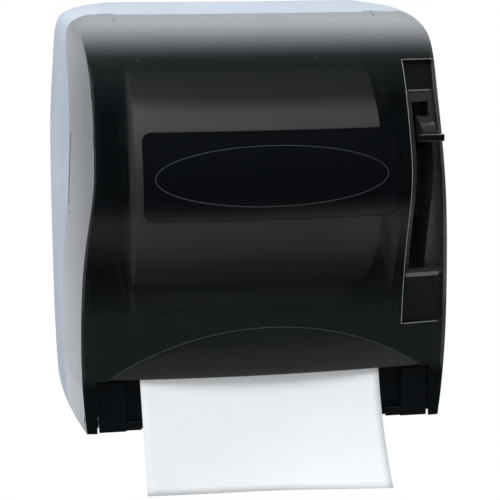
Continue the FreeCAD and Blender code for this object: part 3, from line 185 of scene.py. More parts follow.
def set_world():
    """White to the eye; in gloss bright behind, above and at the left, and nearly black in front."""
    world = bpy.data.worlds.new("pale_studio")
    bpy.context.scene.world = world
    world.use_nodes = True
    nodes, links = world.node_tree.nodes, world.node_tree.links
    nodes.clear()
    output = nodes.new("ShaderNodeOutputWorld")
    background = nodes.new("ShaderNodeBackground")
    direction = nodes.new("ShaderNodeTexCoord")
    ray = nodes.new("ShaderNodeLightPath").outputs
    to_right, to_back, to_top = axes(nodes, links, direction.outputs["Generated"])
    behind = spread(nodes, links, to_back, *BEHIND_BRIGHT, "SMOOTHSTEP")
    left = spread(nodes, links, to_right, *LEFT_BRIGHTER, "SMOOTHSTEP")
    above = spread(nodes, links, to_top, *ABOVE_BRIGHTER, "SMOOTHSTEP")
    bright_side = calculate(nodes, links, "MULTIPLY", left, above)
    around = calculate(nodes, links, "MULTIPLY", behind, bright_side)
    in_gloss = calculate(nodes, links, "MULTIPLY", around, ray["Is Glossy Ray"])
    to_eye = calculate(nodes, links, "MAXIMUM", ray["Is Camera Ray"], in_gloss)
    in_diffuse = calculate(nodes, links, "MULTIPLY", ray["Is Diffuse Ray"], DIFFUSE_LEVEL)
    level = calculate(nodes, links, "MAXIMUM", to_eye, in_diffuse)
    tint = blend_colours(nodes, links, ray["Is Glossy Ray"], WHITE, COOL_REFLECTIONS)
    links.new(tint, background.inputs["Color"])
    links.new(level, background.inputs["Strength"])
    links.new(background.outputs["Background"], output.inputs["Surface"])


def floor_material():
    """Pale floor, white to the eye; in gloss it darkens towards the user."""
    material = bpy.data.materials.new("pale_floor")
    material.use_nodes = True
    nodes, links = material.node_tree.nodes, material.node_tree.links
    surface = nodes["Principled BSDF"]
    surface.inputs["Base Color"].default_value = (0.80, 0.80, 0.80, 1.0)
    surface.inputs["Roughness"].default_value = 0.8
    place = nodes.new("ShaderNodeTexCoord")
    ray = nodes.new("ShaderNodeLightPath").outputs
    unlit = nodes.new("ShaderNodeEmission")
    white = nodes.new("ShaderNodeEmission")
    in_gloss = nodes.new("ShaderNodeMixShader")
    to_eye = nodes.new("ShaderNodeMixShader")
    along = axes(nodes, links, place.outputs["Object"])[1]
    links.new(spread(nodes, links, along, *FLOOR_IN_REFLECTIONS, "SMOOTHSTEP"), unlit.inputs["Strength"])
    for mix, chance, first, second in (
            (in_gloss, "Is Glossy Ray", surface.outputs["BSDF"], unlit.outputs["Emission"]),
            (to_eye, "Is Camera Ray", in_gloss.outputs["Shader"], white.outputs["Emission"])):
        links.new(ray[chance], mix.inputs["Fac"])
        links.new(first, mix.inputs[1])
        links.new(second, mix.inputs[2])
    links.new(to_eye.outputs["Shader"], nodes["Material Output"].inputs["Surface"])
    return material


def add_floor():
    """Studio floor well below the wall unit."""
    work = bmesh.new()
    bmesh.ops.create_grid(work, x_segments=1, y_segments=1, size=FLOOR_HALF_SIZE,
                          matrix=Matrix.Translation((0.0, 0.0, FLOOR_Z)))
    floor = mesh_object(work, "studio_floor", floor_material())


bpy.context.scene.view_settings.view_transform = "Standard"
set_camera()
set_world()
add_floor()
for box in SOFTBOXES:
    softbox(*box)


# ---------------------------------------------------------------- shared effects

def new_group(name, inputs, outputs):
    """Shader node group with named sockets, given as (name, kind, default)."""
    group = bpy.data.node_groups.new(name, "ShaderNodeTree")
    for label, kind, default in inputs:
        socket = group.interface.new_socket(name=label, in_out="INPUT", socket_type="NodeSocket" + kind)
        if default is not None:
            socket.default_value = default
    for label, kind in outputs:
        group.interface.new_socket(name=label, in_out="OUTPUT", socket_type="NodeSocket" + kind)
    start = group.nodes.new("NodeGroupInput")
    end = group.nodes.new("NodeGroupOutput")
    return group, start, end


def make_moulded_grain():
    """Fine mould texture with slow flow variation: height, roughness and a colour mask."""
    group, start, end = new_group("moulded_grain",
                                  [("Vector", "Vector", None), ("Grain Scale", "Float", 900.0),
                                   ("Roughness", "Float", 0.4), ("Spread", "Float", 0.08)],
                                  [("Height", "Float"), ("Roughness", "Float"), ("Flow", "Float")])
    nodes, links = group.nodes, group.links
    grain = noise(nodes, links, start.outputs["Vector"], start.outputs["Grain Scale"], 2.0, 0.6)
    flow = noise(nodes, links, start.outputs["Vector"], 9.0, 3.0, 0.5)
    low = calculate(nodes, links, "SUBTRACT", start.outputs["Roughness"], start.outputs["Spread"])
    high = calculate(nodes, links, "ADD", start.outputs["Roughness"], start.outputs["Spread"])
    links.new(grain, end.inputs["Height"])
    links.new(spread(nodes, links, flow, 0.3, 0.7, low, high), end.inputs["Roughness"])
    links.new(spread(nodes, links, flow, 0.3, 0.7, 0.0, 1.0), end.inputs["Flow"])
    return group


def make_fine_scratches():
    """Thin wiping marks, as a mask."""
    group, start, end = new_group("fine_scratches", [("Vector", "Vector", None), ("Amount", "Float", 0.3)],
                                  [("Mask", "Float")])
    nodes, links = group.nodes, group.links
    stretch = nodes.new("ShaderNodeMapping")
    stretch.inputs["Scale"].default_value = (38.0, 400.0, 900.0)
    stretch.inputs["Rotation"].default_value = (0.0, 0.35, 0.2)
    links.new(start.outputs["Vector"], stretch.inputs["Vector"])
    lines = noise(nodes, links, stretch.outputs["Vector"], 1.0, 2.0, 0.5)
    patches = noise(nodes, links, start.outputs["Vector"], 14.0, 2.0, 0.5)
    thin = spread(nodes, links, lines, 0.66, 0.74, 0.0, 1.0)
    here = spread(nodes, links, patches, 0.45, 0.65, 0.0, 1.0)
    both = calculate(nodes, links, "MULTIPLY", thin, here)
    links.new(calculate(nodes, links, "MULTIPLY", both, start.outputs["Amount"]), end.inputs["Mask"])
    return group


def make_settled_dust():
    """Light dust on faces that look up, as a mask."""
    group, start, end = new_group("settled_dust", [("Vector", "Vector", None), ("Amount", "Float", 0.2)],
                                  [("Mask", "Float")])
    nodes, links = group.nodes, group.links
    geometry = nodes.new("ShaderNodeNewGeometry")
    facing_up = axes(nodes, links, geometry.outputs["Normal"])[2]
    upward = spread(nodes, links, facing_up, 0.5, 1.0, 0.0, 1.0)
    clouds = noise(nodes, links, start.outputs["Vector"], 120.0, 4.0, 0.7)
    specks = spread(nodes, links, clouds, 0.4, 0.7, 0.2, 1.0)
    both = calculate(nodes, links, "MULTIPLY", upward, specks)
    links.new(calculate(nodes, links, "MULTIPLY", both, start.outputs["Amount"]), end.inputs["Mask"])
    return group


MOULDED_GRAIN = make_moulded_grain()
FINE_SCRATCHES = make_fine_scratches()
SETTLED_DUST = make_settled_dust()


def srgb(red, green, blue):
    """Display colour, 0 to 255, as a linear colour with alpha."""
    def linear(level):
        share = level / 255.0
        if share <= 0.04045:
            return share / 12.92
        return ((share + 0.055) / 1.055) ** 2.4
    return (linear(red), linear(green), linear(blue), 1.0)


def scaled(colour, factor, lift=0.0):
    """Colour made lighter or darker, with full alpha."""
    return tuple(min(1.0, channel * factor + lift) for channel in colour[:3]) + (1.0,)


def place_group(nodes, links, group, vector, **values):
    """Group node in a material, with its vector linked and its values set."""
    node = nodes.new("ShaderNodeGroup")
    node.node_tree = group
    links.new(vector, node.inputs["Vector"])
    for label, value in values.items():
        node.inputs[label.replace("_", " ")].default_value = value
    return node


def start_material(name):
    """Material with its Principled shader and Object coordinates."""
    material = bpy.data.materials.new(name)
    material.use_nodes = True
    nodes, links = material.node_tree.nodes, material.node_tree.links
    coords = nodes.new("ShaderNodeTexCoord")
    return material, nodes, links, nodes["Principled BSDF"], coords.outputs["Object"]


def add_bump(nodes, links, shader, height, strength, distance):
    """Bump node into the shader's normal."""
    bump = nodes.new("ShaderNodeBump")
    bump.inputs["Strength"].default_value = strength
    bump.inputs["Distance"].default_value = distance
    links.new(height, bump.inputs["Height"])
    links.new(bump.outputs["Normal"], shader.inputs["Normal"])


def moulded_plastic(name, colour, deep, roughness, dust=0.15, scratches=0.3, shine=0.5):
    """Coloured moulding: mould texture, slow tone variation, wiping marks and a little dust."""
    material, nodes, links, shader, place = start_material(name)
    grain = place_group(nodes, links, MOULDED_GRAIN, place, Grain_Scale=900.0, Roughness=roughness)
    marks = place_group(nodes, links, FINE_SCRATCHES, place, Amount=scratches)
    film = place_group(nodes, links, SETTLED_DUST, place, Amount=dust)
    tone = blend_colours(nodes, links, grain.outputs["Flow"], colour, deep)
    marked = blend_colours(nodes, links, marks.outputs["Mask"], tone, scaled(colour, 1.25, 0.03))
    dusty = blend_colours(nodes, links, film.outputs["Mask"], marked, (0.55, 0.54, 0.51, 1.0))
    links.new(dusty, shader.inputs["Base Color"])
    rubbed = calculate(nodes, links, "MULTIPLY", marks.outputs["Mask"], 0.3)
    rough = calculate(nodes, links, "ADD", grain.outputs["Roughness"], rubbed)
    links.new(rough, shader.inputs["Roughness"])
    shader.inputs["Specular IOR Level"].default_value = shine
    add_bump(nodes, links, shader, grain.outputs["Height"], 0.5, 0.00004)
    return material


def brushed_metal(name, colour, roughness=0.32, direction=(8.0, 900.0, 900.0)):
    """Steel with fine lines along one direction."""
    material, nodes, links, shader, place = start_material(name)
    stretch = nodes.new("ShaderNodeMapping")
    stretch.inputs["Scale"].default_value = direction
    links.new(place, stretch.inputs["Vector"])
    lines = noise(nodes, links, stretch.outputs["Vector"], 1.0, 3.0, 0.6)
    stain = noise(nodes, links, place, 30.0, 3.0, 0.6)
    stained = spread(nodes, links, stain, 0.35, 0.7, 0.0, 1.0)
    links.new(blend_colours(nodes, links, stained, colour, scaled(colour, 0.72)), shader.inputs["Base Color"])
    rough = spread(nodes, links, lines, 0.3, 0.7, roughness - 0.08, roughness + 0.12)
    links.new(rough, shader.inputs["Roughness"])
    shader.inputs["Metallic"].default_value = 1.0
    add_bump(nodes, links, shader, lines, 0.4, 0.00003)
    return material


# ---------------------------------------------------------------- finishes of this product

PANEL_HALF_WIDTH, PANEL_HALF_HEIGHT, PANEL_CORNER = 0.103, 0.03535, 0.008
PANEL_SOFT_EDGE = 0.0004
PANEL_CLOSED = 0.96              # how far the panel hides what is behind it

# Each of these is a height from, a height to, and the value at the first and at the second.
# Where the cover closes:
LOWER_CLOSED = (-0.042, -0.068, 0.0, 0.80)
CROWN_CLOSED = (0.118, 0.134, 0.0, 0.86)
LEG_CLOSED = (-0.118, -0.132, 0.0, 0.975)
# Where a lighter grey is painted on as reflection, in a band below the roll and above the legs, and at the
# crown:
PAINTED_SHEEN_BELOW_ROLL = (-0.03, -0.07, 0.0, 1.0)
PAINTED_SHEEN_ABOVE_LEGS = (-0.132, -0.122, 0.0, 1.0)
PAINTED_SHEEN_CROWN = (0.104, 0.126, 0.0, 1.0)
# Where painted shade darkens the lever guide's end pockets:
GUIDE_HIGH_POCKET_SHADE = (0.1080, 0.1084, 0.0, 1.0)
GUIDE_LOW_POCKET_SHADE = (-0.0440, -0.0436, 1.0, 0.0)
# How far the cover is closed when seen head on, which is less near its top; the opening towards the top is
# painted light, letting more of the roll show in place of light from above:
HEAD_ON = (0.05, 0.10, 0.515, 0.43)

EDGE_ON = 0.995                  # how far it is closed when seen edge on

ROLL_CENTER_Y, ROLL_CENTER_Z = -0.115, 0.028


def box_mask(nodes, links, across, up, half_x, half_z, center_z, corner, soft):
    """Mask of a rounded rectangle on the middle line of the front view: 1 inside."""
    def beyond(position, center, half):
        offset = calculate(nodes, links, "SUBTRACT", position, center)
        size = calculate(nodes, links, "ABSOLUTE", offset, 0.0)
        past = calculate(nodes, links, "SUBTRACT", size, half - corner)
        return calculate(nodes, links, "MAXIMUM", past, 0.0)
    over_x, over_z = beyond(across, 0.0, half_x), beyond(up, center_z, half_z)
    squared = calculate(nodes, links, "ADD", calculate(nodes, links, "MULTIPLY", over_x, over_x),
                        calculate(nodes, links, "MULTIPLY", over_z, over_z))
    away = calculate(nodes, links, "SQRT", squared, 0.0)
    return spread(nodes, links, away, corner - soft, corner + soft, 1.0, 0.0)


def smoked_cover_plastic():
    """See-through smoked plastic, nearly closed in the window panel and at grazing angles, with a painted
    reflection as lighter grey below the roll and at the crown.
    """
    material, nodes, links, shader, place = start_material("smoked_cover_plastic")
    grain = place_group(nodes, links, MOULDED_GRAIN, place, Grain_Scale=1400.0, Roughness=0.17, Spread=0.03)
    marks = place_group(nodes, links, FINE_SCRATCHES, place, Amount=0.35)
    film = place_group(nodes, links, SETTLED_DUST, place, Amount=0.10)
    across, _, up = axes(nodes, links, place)
    panel = box_mask(nodes, links, across, up, PANEL_HALF_WIDTH, PANEL_HALF_HEIGHT, PANEL_CENTER_Z,
                     PANEL_CORNER, PANEL_SOFT_EDGE)

    smoke = blend_colours(nodes, links, grain.outputs["Flow"], srgb(12, 16, 18), srgb(9, 13, 15))
    marked = blend_colours(nodes, links, marks.outputs["Mask"], smoke, srgb(60, 64, 66))
    dusty = blend_colours(nodes, links, film.outputs["Mask"], marked, srgb(120, 120, 118))
    # Painted reflection: a lighter grey in the band below the roll and above the legs, and at the crown,
    # stands in for gloss seen there.
    band = calculate(nodes, links, "MULTIPLY", spread(nodes, links, up, *PAINTED_SHEEN_BELOW_ROLL),
                     spread(nodes, links, up, *PAINTED_SHEEN_ABOVE_LEGS))
    painted_sheen = calculate(nodes, links, "MAXIMUM", band, spread(nodes, links, up, *PAINTED_SHEEN_CROWN))
    sheened = blend_colours(nodes, links, painted_sheen, dusty, srgb(31, 35, 36))
    links.new(blend_colours(nodes, links, panel, sheened, srgb(10, 13, 17)), shader.inputs["Base Color"])

    rubbed = calculate(nodes, links, "MULTIPLY", marks.outputs["Mask"], 0.25)
    rough = calculate(nodes, links, "ADD", grain.outputs["Roughness"], rubbed)
    links.new(rough, shader.inputs["Roughness"])
    shader.inputs["IOR"].default_value = 1.52

    view = nodes.new("ShaderNodeLayerWeight")
    view.inputs["Blend"].default_value = 0.35
    # Painted light: the cover opens towards its top so the roll's top shows brighter.
    head_on = spread(nodes, links, up, *HEAD_ON)
    closed = spread(nodes, links, view.outputs["Facing"], 0.0, 1.0, head_on, EDGE_ON)
    for heights in (LOWER_CLOSED, CROWN_CLOSED, LEG_CLOSED):
        closed = calculate(nodes, links, "MAXIMUM", closed, spread(nodes, links, up, *heights))
    closed = calculate(nodes, links, "MAXIMUM", closed,
                       calculate(nodes, links, "MULTIPLY", panel, PANEL_CLOSED))
    links.new(closed, shader.inputs["Alpha"])
    add_bump(nodes, links, shader, grain.outputs["Height"], 0.35, 0.00002)
    return material


def guide_plastic():
    """Glossy black lever guide, a warmer grey along the lever's travel, with painted shade darkening its end
    pockets.
    """
    material = moulded_plastic("guide_black", srgb(58, 56, 54), srgb(44, 43, 42), 0.26, dust=0.05)
    nodes, links = material.node_tree.nodes, material.node_tree.links
    base_colour = nodes["Principled BSDF"].inputs["Base Color"]
    coords = nodes.new("ShaderNodeTexCoord")
    up = axes(nodes, links, coords.outputs["Object"])[2]
    pocket_shade = calculate(nodes, links, "MAXIMUM", spread(nodes, links, up, *GUIDE_HIGH_POCKET_SHADE),
                       spread(nodes, links, up, *GUIDE_LOW_POCKET_SHADE))
    tone = base_colour.links[0].from_socket
    # Painted shade: a darker colour in the recessed end pockets.
    links.new(blend_colours(nodes, links, pocket_shade, tone, srgb(25, 24, 24)), base_colour)
    return material


def towel_paper():
    """Soft white paper with fine embossing and slight fibres."""
    material, nodes, links, shader, place = start_material("towel_paper")
    white = srgb(245, 249, 252)
    cells = nodes.new("ShaderNodeTexVoronoi")
    cells.inputs["Scale"].default_value = 420.0
    links.new(place, cells.inputs["Vector"])
    fibres = noise(nodes, links, place, 1500.0, 3.0, 0.7)
    cloudy = spread(nodes, links, noise(nodes, links, place, 35.0, 3.0, 0.6), 0.3, 0.75, 0.0, 1.0)
    links.new(blend_colours(nodes, links, cloudy, white, scaled(white, 0.975)), shader.inputs["Base Color"])
    links.new(spread(nodes, links, fibres, 0.2, 0.8, 0.82, 0.95), shader.inputs["Roughness"])
    shader.inputs["Specular IOR Level"].default_value = 0.2
    height = calculate(nodes, links, "ADD", cells.outputs["Distance"],
                       calculate(nodes, links, "MULTIPLY", fibres, 0.4))
    add_bump(nodes, links, shader, height, 0.35, 0.0001)
    return material


def wound_paper():
    """Towel roll: layers round the ends, soft paper on the outside."""
    material, nodes, links, shader, place = start_material("wound_towel_paper")
    middle = nodes.new("ShaderNodeMapping")
    middle.inputs["Location"].default_value = (0.0, -ROLL_CENTER_Y, -ROLL_CENTER_Z)
    links.new(place, middle.inputs["Vector"])
    flat = nodes.new("ShaderNodeVectorMath")
    flat.operation = "MULTIPLY"
    flat.inputs[1].default_value = (0.0, 1.0, 1.0)
    links.new(middle.outputs["Vector"], flat.inputs[0])
    reach = nodes.new("ShaderNodeVectorMath")
    reach.operation = "LENGTH"
    links.new(flat.outputs["Vector"], reach.inputs[0])
    turns = calculate(nodes, links, "MULTIPLY", reach.outputs["Value"], 4200.0)
    layers = calculate(nodes, links, "SINE", turns, 0.0)
    uneven = noise(nodes, links, place, 60.0, 4.0, 0.6)
    rings = calculate(nodes, links, "MULTIPLY", spread(nodes, links, layers, -1.0, 1.0, 0.0, 1.0),
                      spread(nodes, links, uneven, 0.35, 0.65, 0.3, 1.0))
    links.new(blend_colours(nodes, links, rings, srgb(226, 229, 230), srgb(240, 243, 244)),
              shader.inputs["Base Color"])
    shader.inputs["Roughness"].default_value = 0.9
    add_bump(nodes, links, shader, rings, 0.5, 0.0003)
    return material


def wound_board():
    """Brown core board with its wound seam lines."""
    material, nodes, links, shader, place = start_material("core_board")
    band = nodes.new("ShaderNodeTexWave")
    band.inputs["Scale"].default_value = 26.0
    band.inputs["Distortion"].default_value = 1.5
    links.new(place, band.inputs["Vector"])
    fibre = noise(nodes, links, place, 700.0, 4.0, 0.7)
    tone = calculate(nodes, links, "MULTIPLY", band.outputs["Fac"], fibre)
    links.new(blend_colours(nodes, links, tone, srgb(150, 120, 88), srgb(182, 152, 116)),
              shader.inputs["Base Color"])
    shader.inputs["Roughness"].default_value = 0.92
    add_bump(nodes, links, shader, fibre, 0.4, 0.00015)
    return material


def ground_rubber():
    """Feed tyre: dark ground rubber with paper dust in its grain."""
    material, nodes, links, shader, place = start_material("ground_rubber")
    grain = noise(nodes, links, place, 1300.0, 4.0, 0.75)
    dust = spread(nodes, links, noise(nodes, links, place, 45.0, 3.0, 0.6), 0.5, 0.8, 0.0, 0.5)
    links.new(blend_colours(nodes, links, dust, srgb(30, 30, 31), srgb(96, 96, 95)),
              shader.inputs["Base Color"])
    links.new(spread(nodes, links, grain, 0.2, 0.8, 0.7, 0.95), shader.inputs["Roughness"])
    add_bump(nodes, links, shader, grain, 0.6, 0.0001)
    return material


CASE_GREY = moulded_plastic("case_grey", srgb(184, 194, 208), srgb(177, 187, 202), 0.55, dust=0.06,
                            scratches=0.15, shine=0.22)
SMOKED = smoked_cover_plastic()
TRAY_BLACK = moulded_plastic("tray_black", srgb(11, 17, 21), srgb(7, 12, 16), 0.34, dust=0.06, scratches=0.2)
FRAME_GREY = moulded_plastic("frame_grey", srgb(70, 74, 77), srgb(62, 66, 69), 0.5)
GUIDE_BLACK = guide_plastic()
LEVER_BLACK = moulded_plastic("lever_black", srgb(17, 18, 19), srgb(13, 14, 15), 0.2, dust=0.05,
                              scratches=0.5)
GEAR_WHITE = moulded_plastic("gear_white", srgb(214, 215, 208), srgb(204, 205, 198), 0.45)
ARM_GREY = moulded_plastic("arm_grey", srgb(62, 66, 69), srgb(54, 58, 61), 0.5)
LATCH_BLACK = moulded_plastic("latch_black", srgb(24, 27, 29), srgb(18, 21, 23), 0.35)
ROLLER_GREY = moulded_plastic("roller_grey", srgb(142, 145, 147), srgb(130, 133, 135), 0.5)
STEEL = brushed_metal("rolled_steel", srgb(176, 179, 182))
SCREW_ZINC = brushed_metal("zinc_screw", srgb(190, 193, 196), 0.25, (60.0, 60.0, 60.0))
PAPER = towel_paper()
ROLL_PAPER = wound_paper()
BOARD = wound_board()
RUBBER = ground_rubber()
# Light line colour: a painted highlight on edges that catch the light.
RIM_HIGHLIGHT = moulded_plastic("notch_rim_highlight", srgb(168, 172, 174), srgb(128, 132, 134), 0.25, dust=0.05, scratches=0.1)
# Light grey ledge colour: a painted highlight on the guide's steps.
LEDGE_HIGHLIGHT = moulded_plastic("guide_ledge", srgb(112, 110, 107), srgb(92, 91, 88), 0.3, dust=0.1, scratches=0.3)
# Grey bead colour: a painted highlight along the oval and the scoop's edge.
BEAD_HIGHLIGHT = moulded_plastic("cover_bead_highlight", srgb(74, 80, 83), srgb(60, 66, 69), 0.3, dust=0.05, scratches=0.1)

FINISHES = (
    (CASE_GREY, ("rear_housing",)),
    (SMOKED, ("cover",)),
    (TRAY_BLACK, ("lower_tray", "front_guard")),
    (FRAME_GREY, ("right_frame", "left_frame")),
    (GUIDE_BLACK, ("lever_guide",)),
    (LEVER_BLACK, ("lever_arm", "lever_grip")),
    (GEAR_WHITE, ("gear_sector", "pinion")),
    (ARM_GREY, ("pressure_arm", "roll_arm_left", "hub_left", "hub_right")),
    (LATCH_BLACK, ("latch_left", "latch_right")),
    (ROLLER_GREY, ("feed_core", "pressure_roller", "feed_bushes")),
    (STEEL, ("tear_bar", "hinge_pins", "lever_shaft", "feed_shaft", "pressure_shaft", "arm_pins",
             "arm_bracket", "arm_post", "pressure_springs", "latch_springs", "lever_spring")),
    (SCREW_ZINC, ("frame_screws",)),
    (PAPER, ("towel_web", "towel_sheet")),
    (ROLL_PAPER, ("towel_roll",)),
    (BOARD, ("roll_core",)),
    (RUBBER, ("feed_tyres",)),
)


def dress(node, material):
    """Gives a CAD node its finish."""
    slots = NODES[node].data.materials
    if not len(slots):
        slots.append(material)
    for index in range(len(slots)):
        slots[index] = material


for finish, names in FINISHES:
    for node_name in names:
        dress(node_name, finish)


# ---------------------------------------------------------------- mouldings with rounded edges

CREASE = math.radians(32.0)      # edges turned further than this are hard
MERGE_DISTANCE = 0.000002
FLAT_ANGLE = math.radians(0.3)

# Node, body, material slot and width of its rounded edges.
ROUNDED = (
    ("cover", "cover", "cover_smoke", 0.0004),
    ("rear_housing", "housing", "case_grey", 0.0004),
    ("lower_tray", "housing", "tray_black", 0.0004),
    ("front_guard", "housing", "tray_black", 0.0003),
    ("lever_guide", "housing", "guide_black", 0.0003),
    ("lever_arm", "lever", "lever_black", 0.0004),
    ("lever_grip", "lever", "lever_black", 0.0006),
)


def rounded_moulding(node, body, material_slot, width):
    """Merged copy of a CAD node with its hard edges rounded; it stands for the node."""
    work = bmesh.new()
    work.from_mesh(NODES[node].data)
    bmesh.ops.remove_doubles(work, verts=work.verts, dist=MERGE_DISTANCE)
    bmesh.ops.dissolve_limit(work, angle_limit=FLAT_ANGLE, verts=work.verts, edges=work.edges,
                             delimit={"NORMAL"})
    for face in work.faces:
        face.smooth = True
    for edge in work.edges:
        edge.smooth = edge.calc_face_angle(0.0) < CREASE
    piece = mesh_object(work, node + "_finished", NODES[node].data.materials[0])
    attributes = piece.data.attributes
    for attribute in [layer for layer in attributes if layer.name == "custom_normal"]:
        attributes.remove(attribute)
    rounding = piece.modifiers.new("rounded_edges", "BEVEL")
    rounding.width = width
    rounding.segments = 2
    rounding.limit_method = "ANGLE"
    rounding.angle_limit = CREASE
    rounding.harden_normals = True
    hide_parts(node)
    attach(piece, body)


for moulding in ROUNDED:
    rounded_moulding(*moulding)


# ---------------------------------------------------------------- towel

SHEET_WIDTH = 0.2032
ROLL_LEFT = -0.106
PLY_THICKNESS = 0.0004

# Side view of the towel's free end, (y, z): off the roll, over the pressure roller, to the tear bar.
INNER_ROUTE = ((-0.07786, -0.06323), (-0.17844, -0.10417), (-0.18031, -0.10519), (-0.20857, -0.12498))
BEND_ROUTE = ((-0.20943, -0.12590), (-0.20983, -0.12710))
SHEET_BOTTOM = (-0.22140, -0.22450)
HANG_STEPS = 8
CROSS_CUTS = 15

LEAN_LEFT, LEAN_TO_RIGHT = 0.002, 0.030     # how far the free end leans towards the user
LEAN_ACROSS, LEAN_DOWN = 1.2, 1.9           # powers that shape the lean
LIFT_OF_LEAN = 0.20
WAVE_DEPTH, WAVE_TURN, WAVE_START = 0.0012, 7.5, 0.6
SIDE_DRIFT = 0.0035


def make_towel():
    """One length of towel, drawn from the roll and hanging a little forward and askew."""
    work = bmesh.new()
    (near_y, near_z), (far_y, far_z) = BEND_ROUTE[-1], SHEET_BOTTOM
    hang = [(near_y + (far_y - near_y) * step / HANG_STEPS, near_z + (far_z - near_z) * step / HANG_STEPS)
            for step in range(1, HANG_STEPS + 1)]
    places = list(INNER_ROUTE) + list(BEND_ROUTE) + hang
    line = [work.verts.new((ROLL_LEFT, y, z)) for y, z in places]
    threads = [work.edges.new(pair) for pair in zip(line, line[1:])]
    drawn = bmesh.ops.extrude_edge_only(work, edges=threads)
    moved = [item for item in drawn["geom"] if isinstance(item, bmesh.types.BMVert)]
    bmesh.ops.translate(work, verts=moved, vec=(SHEET_WIDTH, 0.0, 0.0))
    across = [edge for edge in work.edges if abs(edge.verts[0].co.x - edge.verts[1].co.x) > 0.01]
    bmesh.ops.subdivide_edges(work, edges=across, cuts=CROSS_CUTS, use_grid_fill=True)
    for vert in work.verts:
        down = max(0.0, (near_z - vert.co.z) / (near_z - far_z))
        along = (vert.co.x - ROLL_LEFT) / SHEET_WIDTH
        forward = (LEAN_LEFT + LEAN_TO_RIGHT * along ** LEAN_ACROSS) * down ** LEAN_DOWN
        wave = WAVE_DEPTH * math.sin(along * WAVE_TURN + WAVE_START) * down
        vert.co.y -= forward + wave
        vert.co.z += LIFT_OF_LEAN * forward * down
        vert.co.x += SIDE_DRIFT * down
    bmesh.ops.recalc_face_normals(work, faces=work.faces)
    for face in work.faces:
        face.smooth = True
    towel = mesh_object(work, "towel_length", PAPER)
    softened = towel.modifiers.new("softened", "SUBSURF")
    softened.levels = 1
    softened.render_levels = 1
    softened.boundary_smooth = "PRESERVE_CORNERS"
    ply = towel.modifiers.new("ply", "SOLIDIFY")
    ply.thickness = PLY_THICKNESS
    ply.offset = 0.0
    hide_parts("towel_web", "towel_sheet")
    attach(towel, "housing")


make_towel()


# ---------------------------------------------------------------- moulded lines on the cover

def surface_tree(node):
    """Search tree of a CAD node's faces."""
    mesh = NODES[node].data
    return BVHTree.FromPolygons([vert.co for vert in mesh.vertices],
                                [face.vertices for face in mesh.polygons])


COVER_TREE = surface_tree("cover")
GUIDE_TREE = surface_tree("lever_guide")
BACKWARD = Vector((0.0, 1.0, 0.0))


def round_line(name, places, radius, material, closed=False):
    """Thin round line through some places."""
    curve = bpy.data.curves.new(name, "CURVE")
    curve.dimensions = "3D"
    curve.bevel_depth = radius
    curve.bevel_resolution = 1
    spline = curve.splines.new("POLY")
    spline.points.add(len(places) - 1)
    spline.use_cyclic_u = closed
    for point, place in zip(spline.points, places):
        point.co = (*place, 1.0)
    curve.materials.append(material)
    return link_object(name, curve)


def moulded_line(name, path, radius, material, closed=False):
    """Thin raised bead along a front-view path, half sunk in the cover; its light material is a painted
    highlight.
    """
    places = [COVER_TREE.ray_cast(Vector((x, AHEAD_OF_COVER, z)), BACKWARD)[0] for x, z in path]
    bead = round_line(name, places, radius, material, closed)
    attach(bead, "cover")


def edge_line(name, path, radius, material, steps=6):
    """Thin line laid on the nearest cover surface, along a few guide points."""
    places = []
    for start, end in zip(path, path[1:]):
        places += [Vector(start).lerp(Vector(end), step / steps) for step in range(steps)]
    places.append(Vector(path[-1]))
    line = round_line(name, [COVER_TREE.find_nearest(place)[0] for place in places], radius, material)
    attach(line, "cover")


def oval_path(half_x, half_z, center_z, count=96):
    """Front-view ellipse."""
    turns = [2 * math.pi * step / count for step in range(count)]
    return [(half_x * math.cos(turn), center_z + half_z * math.sin(turn)) for turn in turns]


def scoop_path(half_width, radius, center_z, count=60):
    """Front-view arc of the finger scoop's edge, from left to right."""
    path = []
    for step in range(count + 1):
        across = -half_width + 2 * half_width * step / count
        path.append((across, center_z + math.sqrt(radius ** 2 - across ** 2)))
    return path


def notch_path(left, low, top, pitch=0.004, top_steps=7, side_steps=40, foot_steps=8):
    """Front-view outline of the lever's notch: along its top, down its left side, along its foot."""
    path = [(left + pitch * step, top) for step in range(top_steps, 0, -1)]
    path += [(left, top + (low - top) * step / side_steps) for step in range(side_steps + 1)]
    path += [(left + pitch * step, low) for step in range(1, foot_steps + 1)]
    return path


# Painted highlight along the crisp front-left edge of the cover.
edge_line("edge_glint", ((-0.1402, -0.2163, 0.1077), (-0.1401, -0.2253, 0.0893), (-0.1406, -0.2360, 0.0635),
                         (-0.1418, -0.2392, 0.0436), (-0.1432, -0.2375, 0.0300)), 0.0002, RIM_HIGHLIGHT)
edge_line("side_groove", ((-0.1549, -0.1653, 0.0753), (-0.1558, -0.1660, 0.0550), (-0.1573, -0.1667, 0.0398),
                          (-0.1588, -0.1660, 0.0142)), 0.00025, LATCH_BLACK)
# Painted highlight: a bright dot at the lower end of the side slit.
edge_line("side_pip_glint", ((-0.1583, -0.1690, 0.0094), (-0.1583, -0.1692, 0.0082)), 0.0009, RIM_HIGHLIGHT)
# Painted highlight around the oval in the window panel.
moulded_line("oval_bead", oval_path(half_x=0.0935, half_z=0.0240, center_z=PANEL_CENTER_Z), 0.00026, BEAD_HIGHLIGHT,
             closed=True)
edge_line("release_slit_left", ((-0.1150, -0.1195, 0.1660), (-0.1153, -0.1250, 0.1650),
                                (-0.1155, -0.1313, 0.1636)), 0.0005, LATCH_BLACK)
edge_line("release_slit_right", ((0.1080, -0.1195, 0.1660), (0.1082, -0.1225, 0.1652),
                                 (0.1084, -0.1270, 0.1645)), 0.0005, LATCH_BLACK)


# ---------------------------------------------------------------- blocks at the feet

